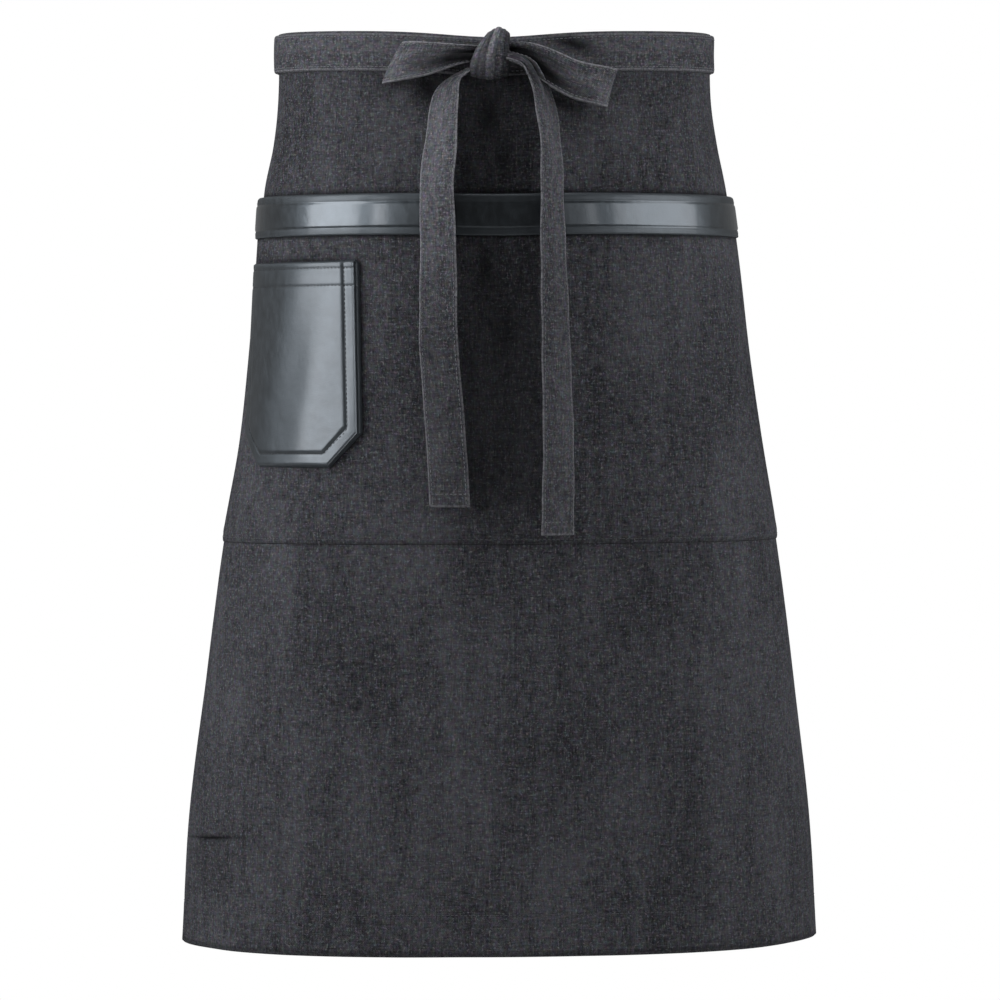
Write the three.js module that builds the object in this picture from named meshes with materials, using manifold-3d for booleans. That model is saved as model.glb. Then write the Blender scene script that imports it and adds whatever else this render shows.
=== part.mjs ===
// A waist apron of charcoal denim, shaped as it hangs on a wearer: a wide panel on a waistband, a patch
// pocket across its front edged with a leather strip, a small leather pocket, and two ties that cross
// behind the waist, come round to the front and are tied there in a bow with two hanging tails.
// Units are millimetres. +Z is up, the front faces -Y, and +X is on the viewer's right.
// The origin is the middle of the waist opening, half way up the waistband.
import * as THREE from "three";
import { mergeVertices } from "three/addons/utils/BufferGeometryUtils.js";
import Module from "manifold-3d";

const manifold = await Module();
manifold.setup();

// Cloth, leather and the gap between sewn layers
const CLOTH_THICKNESS = 1.2;
const LEATHER_THICKNESS = 1.4;
const TIE_THICKNESS = 1.6;
const SEAM_GAP = 0.4;

// Panel
const PANEL_WIDTH = 720;
const PANEL_LENGTH = 686;
const SIDE_HEM_WIDTH = 16;
const BOTTOM_HEM_HEIGHT = 32;
const CORNER_RISE = 3; // how much higher the back corners of the hem hang
const HEM_TILT = 3; // how much higher the hem's right corner hangs than its middle
const WAISTBAND_HEIGHT = 28;

// The form that the panel hangs round, measured on the outside of the panel
const WAIST_HALF_WIDTH = 163;
const WAIST_FRONT_DEPTH = 118;
const WAIST_BACK_DEPTH = 112;
const HEM_HALF_WIDTH = 238;
const HEM_FRONT_DEPTH = 150;
const HEM_BACK_DEPTH = 145;
const HEM_SETBACK = 17; // how far the widest line moves back between waist and hem
const FORM_SWAY = 3; // how far the form leans sideways

// Folds
const FOLD_DEPTH = 10;
const FRONT_DIP = 5; // how much lower the waist sits at the front than at the sides
const FRONT_DIP_SPREAD = 150;
const KNOT_DIP = 4; // how far the knot pulls it down besides
const KNOT_DIP_SPREAD = 48;

// Patch pocket and its leather trim
const POCKET_WIDTH = 640;
const POCKET_TOP = 124; // down the panel from its top edge
const POCKET_HEIGHT = 258;
const POCKET_GAPE = 8; // how far the mouth stands off the panel at the front
const TRIM_HEIGHT = 29;

// Leather pocket
const LEATHER_POCKET_WIDTH = 122;
const LEATHER_POCKET_HEIGHT = 152;
const LEATHER_POCKET_DROP = 50; // its mouth, below the patch pocket's
const LEATHER_POCKET_SIDE = 164; // its middle, left of the panel's middle
const LEATHER_POCKET_CHAMFER = 25;
const LEATHER_POCKET_BORDER = 9;
const LEATHER_POCKET_CAVITY = 3.8;
const BORDER_THICKNESS = 3.5;
const BORDER_GAP = 0.9; // behind the leather, whose flat facets cross the pocket's

// Ties
const TIE_WIDTH = 30;
const WRAP_WIDTH = 27; // a tie is pulled a little narrower round the waist
const CROSSING_GAP = 3; // between the two ties where they pass each other behind
const CROSSING_DROP = 10; // how far the crossing lies below the middle of the waistband
const CROSSING_HALF_LENGTH = 24;
const TIE_END_GAP = 2; // between the two ties behind the knot
const TAIL_REST = 1.5; // between a hanging tail and the cloth behind it
const LEFT_TAIL_DROP = 329;
const RIGHT_TAIL_DROP = 363;
const LEFT_TAIL_START = 11; // below the knot's middle
const RIGHT_TAIL_START = -2;
const TAIL_SIDE = 46;
const TAIL_RISE = 60; // the stretch over which a tail rises on to the pocket's trim

// Bow
const KNOT_HALF_WIDTH = 14.5;
const KNOT_HALF_DEPTH = 11;
const KNOT_HALF_HEIGHT = 18;
const KNOT_SIDE = -3;
const KNOT_PLEAT = 1.2;
const LEFT_LOOP_LENGTH = 80; // from the knot's middle
const RIGHT_LOOP_LENGTH = 93;
const LOOP_HALF_DEPTH = 6;
const LOOP_SWEEP = 15; // how far back the loops' ends lie
const CUT_GAP = 0.4; // left round a piece where it is cut to let another through

// Steps of the meshes
const ALONG_STEPS = 48;
const SECTION_STEPS = 720;
const NORMAL_STEP = 1;
const TAIL_STEP_GROWTH = 1.5;

// One row for each height of the form. down is a share of PANEL_LENGTH, width, front and back are
// shares of the growth from the waist's size to the hem's, setback of HEM_SETBACK and sway of FORM_SWAY.
const FORM = [
  { down: 0.0, width: 0.0, front: 0.0, back: 0.0, setback: 0.0, sway: -1.4 },
  { down: 0.07, width: 0.012, front: 0.1, back: 0.1, setback: 0.12, sway: -1.4 },
  { down: 0.12, width: 0.068, front: 0.2, back: 0.22, setback: 0.25, sway: -1.2 },
  { down: 0.17, width: 0.16, front: 0.3, back: 0.34, setback: 0.35, sway: -1.2 },
  { down: 0.25, width: 0.24, front: 0.45, back: 0.5, setback: 0.5, sway: -0.6 },
  { down: 0.35, width: 0.335, front: 0.6, back: 0.62, setback: 0.65, sway: -0.2 },
  { down: 0.45, width: 0.455, front: 0.7, back: 0.72, setback: 0.78, sway: 0.2 },
  { down: 0.56, width: 0.625, front: 0.8, back: 0.8, setback: 0.88, sway: 0.0 },
  { down: 0.72, width: 0.805, front: 0.9, back: 0.9, setback: 0.95, sway: 0.0 },
  { down: 0.86, width: 0.935, front: 0.96, back: 0.96, setback: 1.0, sway: 0.0 },
  { down: 1.0, width: 1.0, front: 1.0, back: 1.0, setback: 1.0, sway: 0.0 },
];

// One row for each soft fold. from and to are where it lies at its top and at the hem, and spread is its
// half breadth, all as shares of half the panel's width; depth is a share of FOLD_DEPTH, inwards below
// zero; top and full are shares of PANEL_LENGTH, and hem is the share of the depth left at the hem.
const FOLDS = [
  { from: 0.0, to: 0.0, spread: 0.13, depth: -0.95, top: 0.08, full: 0.3, hem: 0.25 },
  { from: -0.3, to: -0.1, spread: 0.1, depth: -0.35, top: 0.5, full: 0.68, hem: 0.8 },
  { from: 0.3, to: 0.16, spread: 0.1, depth: -0.32, top: 0.48, full: 0.66, hem: 0.7 },
  { from: -0.3, to: -0.42, spread: 0.16, depth: 0.28, top: 0.3, full: 0.7, hem: 1.0 },
  { from: 0.34, to: 0.45, spread: 0.16, depth: 0.26, top: 0.3, full: 0.7, hem: 1.0 },
  { from: -0.66, to: -0.7, spread: 0.09, depth: -0.4, top: 0.55, full: 0.9, hem: 1.0 },
  { from: 0.66, to: 0.7, spread: 0.09, depth: -0.4, top: 0.58, full: 0.92, hem: 1.0 },
  { from: -0.94, to: -0.92, spread: 0.1, depth: 0.55, top: 0.35, full: 0.85, hem: 1.0 },
  { from: 0.95, to: 0.93, spread: 0.1, depth: 0.5, top: 0.4, full: 0.85, hem: 1.0 },
];

// One row for each bend of a bow loop's front leaf, from the knot to its fold; the rear leaf comes back
// the same way. upOut and lowOut are how far out its upper and lower edges lie, as shares of the loop's
// length; up and low are their heights beside the knot's middle, as shares of TIE_WIDTH; front is how
// far the leaf bulges, as a share of LOOP_HALF_DEPTH.
const LEFT_LOOP = [
  { upOut: 0.1, lowOut: 0.1, up: 0.18, low: -0.18, front: 0.35 },
  { upOut: 0.3, lowOut: 0.3, up: 0.21, low: -0.28, front: 0.8 },
  { upOut: 0.5, lowOut: 0.55, up: 0.25, low: -0.5, front: 1.0 },
  { upOut: 0.7, lowOut: 0.82, up: 0.29, low: -0.63, front: 0.95 },
  { upOut: 0.81, lowOut: 1.0, up: 0.3, low: -0.7, front: 0.0 },
];
const RIGHT_LOOP = [
  { upOut: 0.1, lowOut: 0.1, up: 0.22, low: -0.14, front: 0.35 },
  { upOut: 0.28, lowOut: 0.25, up: 0.26, low: -0.3, front: 0.8 },
  { upOut: 0.46, lowOut: 0.42, up: 0.12, low: -0.68, front: 1.0 },
  { upOut: 0.7, lowOut: 0.64, up: -0.19, low: -1.06, front: 1.0 },
  { upOut: 0.9, lowOut: 0.83, up: -0.31, low: -1.22, front: 0.8 },
  { upOut: 1.0, lowOut: 0.92, up: -0.36, low: -1.28, front: 0.0 },
];

// One row for each bend of a tail, from the knot down. down is a share of its drop, side of TAIL_SIDE,
// off runs from 1 at the knot's middle to 0 where it rests on the cloth, turn is in degrees with
// the inner edge forward, and width is a share of TIE_WIDTH.
const LEFT_TAIL = [
  { down: 0.0, side: -0.38, off: 1.0, turn: 60, width: 0.45 },
  { down: 0.025, side: -0.62, off: 0.95, turn: 52, width: 0.65 },
  { down: 0.07, side: -0.74, off: 0.8, turn: 44, width: 0.88 },
  { down: 0.19, side: -0.83, off: 0.45, turn: 38, width: 1.0 },
  { down: 0.3, side: -0.9, off: 0.22, turn: 34, width: 1.0 },
  { down: 0.6, side: -0.98, off: 0.05, turn: 22, width: 1.0 },
  { down: 0.76, side: -0.93, off: 0.0, turn: 16, width: 1.0 },
  { down: 1.0, side: -0.83, off: 0.0, turn: 12, width: 1.0 },
];
const RIGHT_TAIL = [
  { down: 0.0, side: 0.04, off: 1.5, turn: 15, width: 0.3 },
  { down: 0.02, side: 0.43, off: 2.0, turn: 25, width: 0.34 },
  { down: 0.045, side: 0.57, off: 2.05, turn: 36, width: 0.42 },
  { down: 0.09, side: 0.71, off: 1.7, turn: 52, width: 0.7 },
  { down: 0.14, side: 0.79, off: 1.3, turn: 60, width: 1.0 },
  { down: 0.2, side: 0.83, off: 0.9, turn: 60, width: 1.0 },
  { down: 0.29, side: 0.86, off: 0.5, turn: 57, width: 1.0 },
  { down: 0.5, side: 0.91, off: 0.2, turn: 50, width: 1.0 },
  { down: 0.72, side: 0.93, off: 0.0, turn: 44, width: 1.0 },
  { down: 1.0, side: 0.93, off: 0.0, turn: 38, width: 1.0 },
];

// Materials
function cloth(name, colour, roughness) {
  return new THREE.MeshStandardMaterial({ name, color: colour, roughness, metalness: 0 });
}
const denim = cloth("denim", 0x36363a, 0.92);
const tieDenim = cloth("tie_denim", 0x434348, 0.9);
const leather = cloth("leather", 0x24272a, 0.38);

// Numbers and tables
const clamp01 = (value) => Math.min(1, Math.max(0, value));
const smooth = (value) => clamp01(value) ** 2 * (3 - 2 * clamp01(value));
const mix = (a, b, share) => a + (b - a) * share;
const radians = THREE.MathUtils.degToRad;
const bell = (value) => Math.exp(-value * value);

// Reads one column of a table smoothly, by the distance in its key column.
function read(rows, key, column, at) {
  const last = rows.length - 1;
  let row = 0;
  while (row < last - 1 && at > rows[row + 1][key]) row += 1;
  const [before, start, end, after] = [
    rows[Math.max(0, row - 1)],
    rows[row],
    rows[row + 1],
    rows[Math.min(last, row + 2)],
  ];
  const length = end[key] - start[key];
  const share = clamp01((at - start[key]) / length);
  const slopeIn = ((end[column] - before[column]) / (end[key] - before[key])) * length;
  const slopeOut = ((after[column] - start[column]) / (after[key] - start[key])) * length;
  const share2 = share * share;
  const share3 = share2 * share;
  return (
    start[column] * (2 * share3 - 3 * share2 + 1) +
    slopeIn * (share3 - 2 * share2 + share) +
    end[column] * (3 * share2 - 2 * share3) +
    slopeOut * (share3 - share2)
  );
}

function steps(from, to, count) {
  return Array.from({ length: count + 1 }, (_, i) => mix(from, to, i / count));
}

// The form's closed section at a height, as points and the lengths along it from the front middle to
// the back middle.
const sections = new Map();
function sectionAt(down) {
  const key = Math.round(down * 1000);
  if (sections.has(key)) return sections.get(key);
  const share = down / PANEL_LENGTH;
  const grown = (waist, hem, column) => mix(waist, hem, read(FORM, "down", column, share));
  const halfWidth = grown(WAIST_HALF_WIDTH, HEM_HALF_WIDTH, "width");
  const front = grown(WAIST_FRONT_DEPTH, HEM_FRONT_DEPTH, "front");
  const back = grown(WAIST_BACK_DEPTH, HEM_BACK_DEPTH, "back");
  const setback = HEM_SETBACK * read(FORM, "down", "setback", share);
  const points = steps(0, Math.PI, SECTION_STEPS).map((angle) => {
    const depth = angle < Math.PI / 2 ? front : back;
    return new THREE.Vector2(halfWidth * Math.sin(angle), setback - depth * Math.cos(angle));
  });
  const lengths = [0];
  for (let i = 1; i < points.length; i += 1) {
    lengths.push(lengths[i - 1] + points[i].distanceTo(points[i - 1]));
  }
  const section = { points, lengths, half: lengths.at(-1) };
  sections.set(key, section);
  return section;
}

// Half the distance round the form at a height.
const halfGirth = (down) => sectionAt(down).half;

function pointOnSection(down, along) {
  const { points, lengths, half } = sectionAt(down);
  const wrapped = THREE.MathUtils.euclideanModulo(along + half, 2 * half) - half;
  const distance = Math.abs(wrapped);
  let low = 0;
  let high = lengths.length - 1;
  while (high - low > 1) {
    const middle = (low + high) >> 1;
    if (lengths[middle] <= distance) low = middle;
    else high = middle;
  }
  const share = (distance - lengths[low]) / (lengths[high] - lengths[low]);
  const point = points[low].clone().lerp(points[high], share);
  point.x *= wrapped < 0 ? -1 : 1;
  point.x += FORM_SWAY * read(FORM, "down", "sway", down / PANEL_LENGTH);
  return point;
}

// How far the folds push the cloth out at a place.
function foldAt(along, down) {
  const across = along / (PANEL_WIDTH / 2);
  const share = down / PANEL_LENGTH;
  let out = 0;
  for (const fold of FOLDS) {
    const run = clamp01((share - fold.top) / (1 - fold.top));
    const place = mix(fold.from, fold.to, run);
    const grown = smooth((share - fold.top) / (fold.full - fold.top));
    const left = mix(1, fold.hem, smooth((share - fold.full) / (1 - fold.full)));
    out += FOLD_DEPTH * fold.depth * grown * left * bell((across - place) / fold.spread);
  }
  return out;
}

// The panel's outer face: along is measured round the form from the front middle, down from its top.
function barePoint(along, down) {
  const flat = pointOnSection(down, along);
  const across = along / (PANEL_WIDTH / 2);
  const rise = (CORNER_RISE * across ** 4 + HEM_TILT * across) * clamp01(down / PANEL_LENGTH);
  const fade = 1 - smooth(down / POCKET_TOP);
  const dip = FRONT_DIP * bell(along / FRONT_DIP_SPREAD) + KNOT_DIP * bell(along / KNOT_DIP_SPREAD);
  return new THREE.Vector3(flat.x, flat.y, WAISTBAND_HEIGHT / 2 - down + rise - dip * fade);
}

function outwards(place, along, down) {
  const acrossStep = place(along + NORMAL_STEP, down).sub(place(along - NORMAL_STEP, down));
  const downStep = place(along, down + NORMAL_STEP).sub(place(along, down - NORMAL_STEP));
  return downStep.cross(acrossStep).normalize();
}

function foldedPoint(along, down) {
  const point = barePoint(along, down);
  return point.addScaledVector(outwards(barePoint, along, down), foldAt(along, down));
}

// A point of a layer that lies a distance off the panel's outer face.
function layerPoint(along, down, off) {
  const point = foldedPoint(along, down);
  return point.addScaledVector(outwards(foldedPoint, along, down), off);
}

// Closed meshes
function orientedGeometry(points, triangles) {
  let volume = 0;
  for (const [a, b, c] of triangles) {
    volume += points[a].dot(points[b].clone().cross(points[c]));
  }
  const index = triangles.flatMap(([a, b, c]) => (volume < 0 ? [a, c, b] : [a, b, c]));
  const geometry = new THREE.BufferGeometry();
  const values = points.flatMap((point) => point.toArray());
  geometry.setAttribute("position", new THREE.Float32BufferAttribute(values, 3));
  geometry.setIndex(index);
  return geometry;
}

// A sheet with two faces, each a grid of points of the same size, joined round their rims.
function sheetGeometry(outer, inner) {
  const columns = outer.length;
  const rows = outer[0].length;
  const points = [...outer.flat(), ...inner.flat()];
  const front = (i, j) => i * rows + j;
  const back = (i, j) => columns * rows + i * rows + j;
  const triangles = [];
  const quad = (a, b, c, d) => triangles.push([a, b, c], [a, c, d]);
  for (let i = 0; i < columns - 1; i += 1) {
    for (let j = 0; j < rows - 1; j += 1) {
      quad(front(i, j), front(i, j + 1), front(i + 1, j + 1), front(i + 1, j));
      quad(back(i, j), back(i + 1, j), back(i + 1, j + 1), back(i, j + 1));
    }
    quad(back(i, 0), front(i, 0), front(i + 1, 0), back(i + 1, 0));
    quad(front(i, rows - 1), back(i, rows - 1), back(i + 1, rows - 1), front(i + 1, rows - 1));
  }
  for (let j = 0; j < rows - 1; j += 1) {
    const end = columns - 1;
    quad(back(0, j), back(0, j + 1), front(0, j + 1), front(0, j));
    quad(front(end, j), front(end, j + 1), back(end, j + 1), back(end, j));
  }
  return orientedGeometry(points, triangles);
}

// Rings of points in order, joined and capped. outline is one ring drawn flat, to fill the caps.
function loftGeometry(rings, outline) {
  const count = rings[0].length;
  const points = rings.flat();
  const triangles = [];
  for (let ring = 0; ring < rings.length - 1; ring += 1) {
    for (let k = 0; k < count; k += 1) {
      const next = (k + 1) % count;
      const [a, b] = [ring * count + k, ring * count + next];
      triangles.push([a, b, b + count], [a, b + count, a + count]);
    }
  }
  const last = (rings.length - 1) * count;
  for (const [a, b, c] of THREE.ShapeUtils.triangulateShape(outline, [])) {
    const anticlockwise = THREE.ShapeUtils.isClockWise(outline) ? [a, c, b] : [a, b, c];
    triangles.push([anticlockwise[0], anticlockwise[2], anticlockwise[1]]);
    triangles.push(anticlockwise.map((k) => last + k));
  }
  return orientedGeometry(points, triangles);
}

// Cutting
function solidOf(geometry) {
  const merged = mergeVertices(geometry, 1e-4);
  return new manifold.Manifold(
    new manifold.Mesh({
      numProp: 3,
      vertProperties: new Float32Array(merged.attributes.position.array),
      triVerts: new Uint32Array(merged.index.array),
    }),
  );
}

// Cuts a geometry clear of others, and keeps its largest piece.
function cutClear(geometry, others) {
  let solid = solidOf(geometry);
  for (const other of others) solid = solid.subtract(solidOf(other));
  const [largest] = solid.decompose().sort((a, b) => b.volume() - a.volume());
  const mesh = largest.getMesh();
  const cut = new THREE.BufferGeometry();
  cut.setAttribute("position", new THREE.Float32BufferAttribute(mesh.vertProperties, 3));
  cut.setIndex([...mesh.triVerts]);
  return cut;
}

const apron = new THREE.Group();
function add(name, geometry, material) {
  const mesh = new THREE.Mesh(geometry, material);
  mesh.name = name;
  apron.add(mesh);
}

// A layer over a stretch of the panel, from offsets of its inner and outer faces.
function layerGeometry(alongs, downs, innerOff, outerOff) {
  const grid = (off) =>
    alongs.map((along) => downs.map((down) => layerPoint(along, down, off(along, down))));
  return sheetGeometry(grid(outerOff), grid(innerOff));
}

const HALF_PANEL = PANEL_WIDTH / 2;
const panelAlongs = steps(-HALF_PANEL, HALF_PANEL, ALONG_STEPS);
const within = (values, low, high) => [
  low,
  ...values.filter((value) => value > low + 1 && value < high - 1),
  high,
];

// Heights that the layers share, so that their facets run parallel
const POCKET_BOTTOM = POCKET_TOP + POCKET_HEIGHT;
const heights = [
  ...[0, WAISTBAND_HEIGHT],
  ...steps(WAISTBAND_HEIGHT, POCKET_TOP, 3).slice(1),
  POCKET_TOP + TRIM_HEIGHT,
  ...steps(POCKET_TOP + TRIM_HEIGHT, POCKET_BOTTOM, 5).slice(1),
  ...steps(POCKET_BOTTOM, PANEL_LENGTH - BOTTOM_HEM_HEIGHT, 7).slice(1),
  PANEL_LENGTH,
];

// Skirt panel, doubled inwards at its side and bottom hems
const HEM_STEP = 1.5; // the sloping edge of a folded hem
function hemShare(along, down) {
  const side = (Math.abs(along) - (HALF_PANEL - SIDE_HEM_WIDTH)) / HEM_STEP;
  const bottom = (down - (PANEL_LENGTH - BOTTOM_HEM_HEIGHT)) / HEM_STEP;
  return clamp01(Math.max(side, bottom));
}
const panelInner = (along, down) => -CLOTH_THICKNESS * (1 + hemShare(along, down));
const hemEdges = [HALF_PANEL - SIDE_HEM_WIDTH, HALF_PANEL - SIDE_HEM_WIDTH + HEM_STEP];
const skirtAlongs = [
  ...panelAlongs.filter((along) => Math.abs(Math.abs(along) - hemEdges[0]) > 4),
  ...hemEdges,
  ...hemEdges.map((edge) => -edge),
].sort((a, b) => a - b);
const skirtDowns = [...heights, PANEL_LENGTH - BOTTOM_HEM_HEIGHT + HEM_STEP].sort((a, b) => a - b);
add("skirt_panel", layerGeometry(skirtAlongs, skirtDowns, panelInner, () => 0), denim);

// Waistband, folded over the panel's top edge
const bandOuter = SEAM_GAP + CLOTH_THICKNESS;
const bandAlongs = skirtAlongs;
const bandRings = bandAlongs.map((along) => {
  const inside = panelInner(along, 0) - SEAM_GAP;
  const top = -(SEAM_GAP + CLOTH_THICKNESS);
  return [
    [SEAM_GAP, WAISTBAND_HEIGHT],
    [bandOuter, WAISTBAND_HEIGHT],
    [bandOuter, top],
    [inside - CLOTH_THICKNESS, top],
    [inside - CLOTH_THICKNESS, WAISTBAND_HEIGHT],
    [inside, WAISTBAND_HEIGHT],
    [inside, -SEAM_GAP],
    [SEAM_GAP, -SEAM_GAP],
  ].map(([off, down]) => layerPoint(along, down, off));
});
const bandOutline = [
  [SEAM_GAP, 0],
  [bandOuter, 0],
  [bandOuter, 2 * WAISTBAND_HEIGHT],
  [-bandOuter, 2 * WAISTBAND_HEIGHT],
  [-bandOuter, 0],
  [-SEAM_GAP, 0],
  [-SEAM_GAP, WAISTBAND_HEIGHT],
  [SEAM_GAP, WAISTBAND_HEIGHT],
].map(([x, y]) => new THREE.Vector2(x, y));
add("waistband", loftGeometry(bandRings, bandOutline), denim);

// Patch pocket, whose mouth gapes at the front and which is sewn down at its sides and bottom
const HALF_POCKET = POCKET_WIDTH / 2;
function gapeAt(along, down) {
  const depth = clamp01((down - POCKET_TOP) / POCKET_HEIGHT);
  const across = clamp01(Math.abs(along) / HALF_POCKET);
  return POCKET_GAPE * Math.sqrt(1 - depth ** 2) * (1 - across ** 2) ** 1.5;
}
const pocketInner = (along, down) => SEAM_GAP + gapeAt(along, down);
const pocketOuter = (along, down) => pocketInner(along, down) + CLOTH_THICKNESS;
const pocketAlongs = within(panelAlongs, -HALF_POCKET, HALF_POCKET);
const pocketDowns = within(heights, POCKET_TOP, POCKET_BOTTOM);
const POCKET_CLOSING = 12; // the last stretch above the bottom seam, where the bag turns in
pocketDowns.splice(-1, 0, POCKET_BOTTOM - POCKET_CLOSING);
add("patch_pocket", layerGeometry(pocketAlongs, pocketDowns, pocketInner, pocketOuter), denim);

// Leather trim along the pocket's mouth
const trimInner = (along, down) => pocketOuter(along, down) + SEAM_GAP;
const trimOuter = (along, down) => trimInner(along, down) + LEATHER_THICKNESS;
const trimDowns = [POCKET_TOP, POCKET_TOP + TRIM_HEIGHT];
add("pocket_trim", layerGeometry(pocketAlongs, trimDowns, trimInner, trimOuter), leather);

// Leather pocket: a stiff border sewn to the patch pocket and a front face that stands off it
const BAG_COLUMNS = 8;
const BAG_ROWS = 7;
const BORDER_STEP = 1.5;
function leatherPocketGeometry() {
  const edge = LEATHER_POCKET_BORDER;
  const width = LEATHER_POCKET_WIDTH;
  const height = LEATHER_POCKET_HEIGHT;
  const insideLeft = edge + BORDER_STEP;
  const columns = [0, edge, ...steps(insideLeft, width - insideLeft, BAG_COLUMNS), width - edge, width];
  const chamferTop = height - LEATHER_POCKET_CHAMFER;
  const bagBottom = height - insideLeft;
  const rows = [...steps(0, chamferTop, BAG_ROWS), bagBottom, height - edge, height];
  const top = POCKET_TOP + LEATHER_POCKET_DROP;
  const place = (column, row) => {
    const pinch = Math.max(0, row - chamferTop);
    const share = (column - width / 2) / (width / 2);
    return { along: share * (width / 2 - pinch) - LEATHER_POCKET_SIDE, down: top + row };
  };
  const isBorder = (column, row) => column <= edge || column >= width - edge || row >= height - edge;
  const grid = (offOf) =>
    columns.map((column) =>
      rows.map((row) => {
        const { along, down } = place(column, row);
        const base = pocketOuter(along, down) + BORDER_GAP;
        return layerPoint(along, down, base + offOf(isBorder(column, row)));
      }),
    );
  const outer = grid((border) => (border ? BORDER_THICKNESS : LEATHER_POCKET_CAVITY + LEATHER_THICKNESS));
  const inner = grid((border) => (border ? 0 : LEATHER_POCKET_CAVITY));
  return sheetGeometry(outer, inner);
}
add("leather_pocket", leatherPocketGeometry(), leather);

// Ties round the waist. Each starts at the end of the waistband on its own side, crosses the open back,
// changing places with the other one, and comes round the far side to the knot.
const wrapOff = bandOuter + SEAM_GAP;
const WRAP_STEP = PANEL_WIDTH / ALONG_STEPS;
function wrapGeometry(side, lift) {
  const half = halfGirth(WAISTBAND_HEIGHT / 2);
  const root = 2 * halfGirth(0) - HALF_PANEL - SEAM_GAP;
  const farEnd = HALF_PANEL - (root - HALF_PANEL) / 2;
  const count = Math.ceil((root - HALF_PANEL) / WRAP_STEP);
  const round = panelAlongs.filter((along) => along > WRAP_STEP / 4 && along < HALF_PANEL);
  const alongs = [TIE_END_GAP / 2, ...round, ...steps(HALF_PANEL, root, count)];
  const plateau = [half - CROSSING_HALF_LENGTH, half + CROSSING_HALF_LENGTH];
  const stations = alongs.map((along) => {
    const rising = smooth((along - farEnd) / (plateau[0] - farEnd));
    const falling = 1 - smooth((along - plateau[1]) / (root - plateau[1]));
    const crossing = lift * ((WRAP_WIDTH + CROSSING_GAP) / 2) - CROSSING_DROP;
    const climb = crossing * Math.min(rising, falling);
    const inward = smooth((along - plateau[0]) / (plateau[1] - plateau[0]));
    return { along: side * along, climb, off: mix(wrapOff, 0, inward) };
  });
  const edges = [-WRAP_WIDTH / 2, WRAP_WIDTH / 2];
  const grid = (thickness) =>
    edges.map((edge) =>
      stations.map(({ along, climb, off }) =>
        layerPoint(along, WAISTBAND_HEIGHT / 2 - climb + edge, off + thickness),
      ),
    );
  return sheetGeometry(grid(TIE_THICKNESS), grid(0));
}
add("tie_round_right", wrapGeometry(1, 1), tieDenim);
add("tie_round_left", wrapGeometry(-1, -1), tieDenim);

// A ribbon between two edges, given at each station as a pair of points.
function ribbonGeometry(stations, thickness, cells) {
  const middles = stations.map(([low, high]) => low.clone().lerp(high, 0.5));
  const grid = (side) =>
    steps(0, 1, cells).map((share) =>
      stations.map(([low, high], i) => {
        const before = middles[Math.max(0, i - 1)];
        const after = middles[Math.min(middles.length - 1, i + 1)];
        const out = after.clone().sub(before).cross(high.clone().sub(low)).normalize();
        return low.clone().lerp(high, share).addScaledVector(out, side * (thickness / 2));
      }),
    );
  return sheetGeometry(grid(1), grid(-1));
}

// Knot: an upright wad with pleats down its front
const knotOff = wrapOff + TIE_THICKNESS + SEAM_GAP + KNOT_HALF_DEPTH;
const knotMiddle = layerPoint(KNOT_SIDE, WAISTBAND_HEIGHT / 2, knotOff);
knotMiddle.z += KNOT_DIP / 2;
const KNOT_RING = 24;
const KNOT_ROWS = 9;
const KNOT_TIP = 0.42; // the share of its girth left at its top and bottom
const KNOT_PLEATS = 5;
function knotGeometry(grow) {
  const rings = steps(-1, 1, KNOT_ROWS).map((height) => {
    const girth = mix(KNOT_TIP, 1, Math.sqrt(1 - height * height));
    return steps(0, 2 * Math.PI, KNOT_RING)
      .slice(0, KNOT_RING)
      .map((angle) => {
        const pleat = Math.sin(angle) < 0 ? KNOT_PLEAT * Math.cos(KNOT_PLEATS * angle) : 0;
        return new THREE.Vector3(
          Math.cos(angle) * ((KNOT_HALF_WIDTH + pleat) * girth + grow),
          Math.sin(angle) * ((KNOT_HALF_DEPTH + Math.min(0, pleat)) * girth + grow),
          height * (KNOT_HALF_HEIGHT + grow),
        ).add(knotMiddle);
      });
  });
  const outline = rings[0].map((point) => new THREE.Vector2(point.x, point.y));
  return loftGeometry(rings, outline);
}
add("bow_knot", knotGeometry(0), tieDenim);
const knotCutter = knotGeometry(CUT_GAP);

// Bow loops
const LOOP_STATIONS = 24;
function loopGeometry(rows, side, length, grow) {
  const rear = rows.slice(0, -1).reverse();
  const bends = [...rows, ...rear.map((row) => ({ ...row, front: -row.front }))];
  bends.forEach((bend, i) => (bend.at = i / (bends.length - 1)));
  const edgePoint = (at, outColumn, heightColumn, more) => {
    const out = read(bends, "at", outColumn, at);
    const bulge = LOOP_HALF_DEPTH * read(bends, "at", "front", at);
    const height = TIE_WIDTH * read(bends, "at", heightColumn, at) + more;
    const back = LOOP_SWEEP * out * out - bulge;
    return new THREE.Vector3(side * out * length, back, height).add(knotMiddle);
  };
  const stations = steps(0, 1, LOOP_STATIONS).map((at) => [
    edgePoint(at, "lowOut", "low", -grow),
    edgePoint(at, "upOut", "up", grow),
  ]);
  return ribbonGeometry(stations, TIE_THICKNESS + 2 * grow, 2);
}
const leftLoop = (grow) => loopGeometry(LEFT_LOOP, -1, LEFT_LOOP_LENGTH, grow);
const rightLoop = (grow) => loopGeometry(RIGHT_LOOP, 1, RIGHT_LOOP_LENGTH, grow);
add("bow_loop_left", cutClear(leftLoop(0), [knotCutter]), tieDenim);
add("bow_loop_right", cutClear(rightLoop(0), [knotCutter]), tieDenim);

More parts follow.
